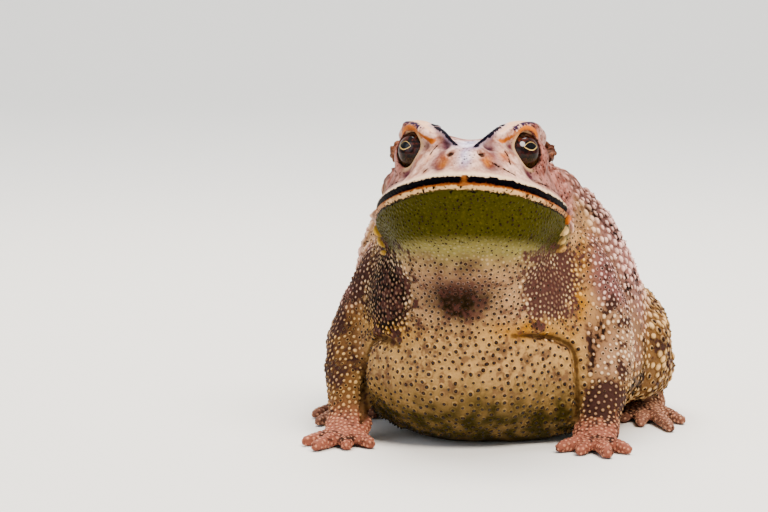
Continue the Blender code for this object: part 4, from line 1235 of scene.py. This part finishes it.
def scatter(kind, allowed, rng):
    # places spread evenly over the skin, each kind of skin with its own spacing
    gaps = wartTable[kind, 0]
    corners = triangles(toadSkin)
    a, b, c = (skinPoints[corners[:, i]] for i in range(3))
    area = np.linalg.norm(np.cross(b - a, c - a), axis=1) / 2
    want = area / (0.85 * gaps[corners].mean(axis=1) ** 2) * allowed[corners].all(axis=1)
    pick = np.repeat(np.arange(len(corners)), rng.poisson(want * wartCloud["candidates"]))
    u, v = rng.random((2, len(pick)))
    over = u + v > 1
    u[over], v[over] = 1 - u[over], 1 - v[over]
    place = a[pick] + u[:, None] * (b - a)[pick] + v[:, None] * (c - a)[pick]
    gap = gaps[corners[pick, 0]] * (1 + 0.08 * rng.standard_normal(len(pick)))
    tree = treeOf(place)
    taken = np.zeros(len(place), bool)
    kept = []
    for i in rng.permutation(len(place)):
        if taken[i]:
            continue
        kept.append(i)
        taken[[found[1] for found in tree.find_range(place[i], gap[i] * wartCloud["closest"])]] = True
    place, gap = place[kept], gap[kept]
    for _ in range(wartCloud["evening"]):
        tree = treeOf(place)
        moved = place.copy()
        for i, p in enumerate(place):
            reach = gap[i] * 1.1
            for other, j, away in tree.find_range(p, reach):
                if j != i and away > 0:
                    moved[i] += (p - np.array(other)) / away * (reach - away) * 0.22
        place = onSkin(moved)
    return place


def nearestPoint(places):
    return np.array([pointTree.find(p)[1] for p in places])


def meshOf(name, co, faces, material):
    mesh = bpy.data.meshes.new(name)
    mesh.vertices.add(len(co))
    mesh.vertices.foreach_set("co", (co * mm).astype(np.float32).ravel())
    mesh.loops.add(len(faces) * 3)
    mesh.loops.foreach_set("vertex_index", faces.astype(np.int32).ravel())
    mesh.polygons.add(len(faces))
    mesh.polygons.foreach_set("loop_start", np.arange(0, len(faces) * 3, 3, dtype=np.int32))
    mesh.update(calc_edges=True)
    made = bpy.data.objects.new(name, mesh)
    bpy.context.collection.objects.link(made)
    dress(made, material)
    return made


def domeFaces(sides, rings, copies):
    # triangles of many domes: each is a fan at its top, then a band between each two rings
    around = np.arange(sides)
    after = (around + 1) % sides
    faces = [np.stack([np.zeros(sides, int), 1 + around, 1 + after], axis=1)]
    for ring in range(rings - 1):
        near, far = 1 + ring * sides, 1 + (ring + 1) * sides
        faces.append(np.stack([near + around, far + around, far + after], axis=1))
        faces.append(np.stack([near + around, far + after, near + after], axis=1))
    first = (1 + sides * rings) * np.arange(copies)
    return (np.concatenate(faces)[None] + first[:, None, None]).reshape(-1, 3)


def frames(out, rng, along=None):
    # two directions across each wart, turned at random or along a given way
    other = rng.standard_normal(out.shape) if along is None else along
    first = unit(np.cross(out, other))
    return first, np.cross(out, first)


def growWarts(name, warts, rng):
    # domes that rise out of the skin and follow its curve, one for each row of the arrays in warts
    place, out, count = warts["place"], warts["out"], len(warts["place"])
    sides, rings = wartCloud["sides"], wartCloud["rings"]
    first, second = frames(out, rng, warts.get("along"))
    turns = 2 * np.pi * np.arange(sides) / sides
    shares = np.concatenate([[0.0]] + [np.full(sides, ring) for ring in rings])
    angles = np.concatenate([[0.0]] + [turns + 0.5 * i for i in range(len(rings))])
    wobble = 1 + wartCloud["wobble"] * rng.standard_normal((count, len(shares)))
    reach = shares * warts["radius"][:, None] * wobble
    stretch = warts["stretch"][:, None]
    across, down = np.cos(angles) * reach / stretch, np.sin(angles) * reach * stretch
    flat = place[:, None] + across[..., None] * first[:, None] + down[..., None] * second[:, None]
    flat = onSkin(flat.reshape(-1, 3))
    rise = (1 - shares**2)[None, :] ** warts["steep"][:, None]
    lift = warts["height"][:, None] * rise - wartCloud["sunk"] * (shares > 0.9)
    co = flat + (out[:, None] * lift[..., None]).reshape(-1, 3)
    made = meshOf(name, co, domeFaces(sides, len(rings), count), skinMaterial)
    near = nearestPoint(flat)
    layers = {key: values[near] for key, values in skinLayers.items()}
    layers["raised"] = rise.ravel()
    layers["tipped"] = np.repeat(warts["tipped"], len(shares))
    layers["tint"] = np.repeat(rng.uniform(-1.0, 1.0, count), len(shares))
    low, high = ground[near], crown[near]
    if "tone" in warts:
        # a wart with a tone of its own takes it in place of the skin's
        own = np.repeat([tone is not None for tone in warts["tone"]], len(shares))
        given = np.array([hexColour(tone or "#000000")[:3] for tone in warts["tone"]])
        given = np.repeat(given, len(shares), axis=0)
        low = np.where(own[:, None], given * 0.45, low)
        high = np.where(own[:, None], given, high)
        for key in ("patch", "speckle", "faceMask", "lip"):
            layers[key] = layers[key] * ~own
    paint(made, layers, low, high)
    return made


def growSpines(name, tip, out, radius, material, rng):
    # small blunt cones on the tips of the warts
    sides, rings = spineShape["sides"], spineShape["rings"]
    first, second = frames(out, rng)
    turns = 2 * np.pi * np.arange(sides) / sides
    around = np.cos(turns)[None, :, None] * first[:, None] + np.sin(turns)[None, :, None] * second[:, None]
    rows = [tip[:, None] + (out * (radius * spineShape["tall"])[:, None])[:, None]]
    for share, up in rings:
        lift = out * (up * radius * spineShape["tall"] - spineShape["sunk"])[:, None]
        rows.append(tip[:, None] + lift[:, None] + around * (share * radius)[:, None, None])
    co = np.concatenate(rows, axis=1).reshape(-1, 3)
    return meshOf(name, co, domeFaces(sides, len(rings), len(tip)), material)


def makeHorn():
    # keratin: dark horn on the tips of the warts, brown where it is thin, with a dull gleam
    made, tree, shader = newMaterial("dark keratin of the wart tips")
    node = partial(addNode, tree)
    place = inMillimetres(node)
    lumps = node("TexNoise", {}, {"Vector": place, "Scale": 1 / 1.3, "Detail": 2.0})
    share = node("MapRange", smooth, (lumps, 0.35, 0.7))
    colour = node("Mix", mixed, {0: share, 6: hexColour("#070404"), 7: hexColour("#22120b")}, 2)
    fine = node("TexNoise", {}, {"Vector": place, "Scale": 8.0, "Detail": 1.0})
    bump = node("Bump", {}, {"Height": fine, "Distance": 0.02 * mm})
    tree.links.new(colour, shader.inputs["Base Color"])
    tree.links.new(bump, shader.inputs["Normal"])
    shader.inputs["Roughness"].default_value = 0.5
    shader.inputs["Specular IOR Level"].default_value = 0.3
    return made


def largeOnes():
    # the large warts in rows down the back, and the beads behind the mouth
    rows = []
    for station in backRows["stations"]:
        for side in (1, -1):
            y = mix(2.0, 54.0, station)
            x = 0.07 * (y + 8.0) + side * 24.0 * math.sin(math.radians(backRows["angle"])) * 1.1
            hit = skinTree.ray_cast(Vector((x, y + 8.0, 90.0)) * mm, Vector((0.0, -0.12, -1.0)))[0]
            size = 1.0 - 0.25 * abs(station - 0.35)
            rows.append((np.array(hit) / mm, backRows["radius"] * size, backRows["height"] * size, 1.0, None))
    for x, y, z, radius, stretch, tone in jawBeads:
        rows.append((onSkin(np.array([(x, y, z)]))[0], radius, radius * 0.85, stretch, tone))
    place, radius, height, stretch, tone = zip(*rows)
    many = len(rows)
    return dict(
        place=np.array(place), out=skinNormals[nearestPoint(place)], radius=np.array(radius),
        height=np.array(height), steep=np.full(many, 0.8), stretch=np.array(stretch),
        tipped=np.zeros(many), along=np.tile((1.0, 0.0, 0.0), (many, 1)), tone=tone,
    )


pointTree = treeOf(skinPoints)
draw = np.random.default_rng(wartCloud["seed"])
kindOfPoint, allowed = wartPlan()
wartPlaces = scatter(kindOfPoint, allowed, draw)
many = len(wartPlaces)
say(f"{many} granules and warts")
wartAt = nearestPoint(wartPlaces)
wartOut = skinNormals[wartAt]
wartName = wartNames[kindOfPoint[wartAt]]
spacing, wideShare, tallShare, steepness, spineShare, spineWide = wartTable[kindOfPoint[wartAt]].T
wartScale = draw.uniform(*wartCloud["sizes"], many)
isBack = wartName == "back"
lowFront = smoothStep(38.0, 24.0, wartPlaces[:, 2]) * smoothStep(16.0, 6.0, wartPlaces[:, 1])
wartScale[isBack] *= 1.0 - 0.35 * lowFront[isBack]
wartScale[isBack & (draw.random(many) < wartCloud["large"][0])] *= wartCloud["large"][1]
wartRadius = spacing * wideShare * wartScale
wartHeight = spacing * tallShare * wartScale
large = largeOnes()
free = np.ones(many, bool)
for place, radius in zip(large["place"], large["radius"]):
    free &= np.linalg.norm(wartPlaces - place, axis=1) > radius + wartRadius * 0.8
spined = free & (draw.random(many) < spineShare)
spined &= (fields["patch"][wartAt] <= 0.5) | (draw.random(many) < wartCloud["patchSpines"])
horn = makeHorn()
slots = dict(largeWarts="back_skin", wartSpines="back_skin")
pieces = []
for name, (kinds, slot) in wartPieces.items():
    chosen = np.isin(wartName, kinds) & free
    slots[name] = slot
    pieces.append(growWarts(name, dict(
        place=wartPlaces[chosen], out=wartOut[chosen], stretch=draw.uniform(0.92, 1.1, chosen.sum()),
        radius=wartRadius[chosen], height=wartHeight[chosen], steep=steepness[chosen],
        tipped=spined[chosen] * (name != "backWarts") * 1.0,
    ), draw))
pieces.append(growWarts("largeWarts", large, draw))
tips = wartPlaces + wartOut * wartHeight[:, None]
spineRadius = spineWide * draw.uniform(0.75, 1.2, many)
pieces.append(growSpines("wartSpines", tips[spined], wartOut[spined], spineRadius[spined], horn, draw))
for piece in pieces:
    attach(piece, bodyName)
    say(f"{piece.name}: {len(piece.data.polygons)} triangles")

# Eyes: dark wet balls with a lens-shaped pupil in a thin gold ring
eyeShape = dict(bulge=0.04, pupilWay=(0.644, 0.741, 0.19), pupil=(1.5, 0.74), ring=0.14)
eyeAttributes = ("eyeAcross", "eyeUp", "eyeAhead")
eyeLook = dict(
    pupil="#010101", ringTone="#dcb86c", dark="#0c0403", copper="#6a2c16", rust="#2c0e09", gold="#3c2e0c",
)


def makeEye(side, name):
    bpy.ops.object.select_all(action="DESELECT")
    bpy.ops.mesh.primitive_uv_sphere_add(segments=64, ring_count=48, radius=1.0)
    eye = bpy.context.view_layer.objects.active
    eye.name = name
    out, forward, up = eyeShape["pupilWay"]
    ahead = headWay(side * out, forward, up)
    across = unit(np.cross(np.array((0.0, 0.0, 1.0)), ahead)[None])[0]
    high = np.cross(ahead, across)
    co = unit(points(eye))
    bulge = 1 + eyeShape["bulge"] * smoothStep(0.72, 1.0, co[:, 2])
    place = (co @ np.array((across, high, ahead))) * bulge[:, None] * head["eyeRadius"] + eyeCentre(side)
    setPoints(eye, place)
    for key, values in zip(eyeAttributes, co.T):
        addFloat(eye, key, values * head["eyeRadius"])
    pickOnly(eye)
    bpy.ops.object.mode_set(mode="EDIT")
    bpy.ops.mesh.select_all(action="SELECT")
    bpy.ops.mesh.normals_make_consistent(inside=False)
    bpy.ops.object.mode_set(mode="OBJECT")
    return eye


def makeEyeMaterial():
    # a wet cornea over a dark iris: near black, flecked with copper above and dull gold below
    made, tree, shader = newMaterial("wet toad eye")
    node = partial(addNode, tree)
    look = {key: hexColour(tone) for key, tone in eyeLook.items()}
    place = inMillimetres(node)
    across, up, toward = (
        node("Attribute", {"attribute_name": name}, give="Fac") for name in eyeAttributes)
    fine = node("TexNoise", {}, {"Vector": place, "Scale": 4.0, "Detail": 4.0})
    lumps = node("TexNoise", {}, {"Vector": place, "Scale": 1.1, "Detail": 3.0})
    cells = node("TexVoronoi", {"feature": "DISTANCE_TO_EDGE"}, {"Vector": place, "Scale": 2.4})
    patchy = node("MapRange", smooth, (lumps, 0.42, 0.6))
    threads = node("Math", times, (node("MapRange", smooth, (cells, 0.09, 0.02)), patchy))
    threads = node("Math", times, (threads, node("MapRange", smooth, (up, -0.4, 1.6, 0.0, 0.8))))
    golden = node("MapRange", smooth, (up, -1.2, -2.8, 0.0, 0.8))
    golden = node("Math", times, (golden, node("MapRange", smooth, (fine, 0.45, 0.62))))
    # how far out from the middle of the pupil, in millimetres up or down from its lens-shaped edge
    wide, tall = eyeShape["pupil"]
    ahead = node("MapRange", smooth, (toward, 0.0, 1.0))
    bent = node("Math", times, (node("Math", times, (across, across)), tall / wide**2))
    lens = node("Math", plus, (node("Math", {"operation": "ABSOLUTE"}, (up,)), bent))
    thin, thick = (tall + eyeShape["ring"] * share for share in (0.6, 1.2))
    ringEdge = node("MapRange", smooth, (up, 0.4, -0.4, thin, thick))
    inRing = node("Math", times, (node("Math", {"operation": "LESS_THAN"}, (lens, ringEdge)), ahead))
    inRing = node("Math", times, (inRing, node("MapRange", {}, (fine, 0.3, 0.7, 0.6, 1.0))))
    inPupil = node("Math", times, (node("MapRange", smooth, (lens, tall + 0.03, tall - 0.03)), ahead))
    colour = look["dark"]
    for share, tone in (
        (patchy, "rust"), (threads, "copper"), (golden, "gold"), (inRing, "ringTone"), (inPupil, "pupil"),
    ):
        colour = node("Mix", mixed, {0: share, 6: colour, 7: look[tone]}, 2)
    tree.links.new(colour, shader.inputs["Base Color"])
    shader.inputs["Roughness"].default_value = 0.06
    # the wet film gleams most where it faces the light, above
    gleam = node("MapRange", smooth, (up, -2.5, 1.0, 0.06, 0.5))
    tree.links.new(gleam, shader.inputs["Specular IOR Level"])
    return made


eyeMaterial = makeEyeMaterial()
for side, label in ((1, "l"), (-1, "r")):
    eye = makeEye(side, "toadEye" + label.upper())
    dress(eye, eyeMaterial)
    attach(eye, bodyName)
    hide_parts("eye_" + label)
say("eyes are in")
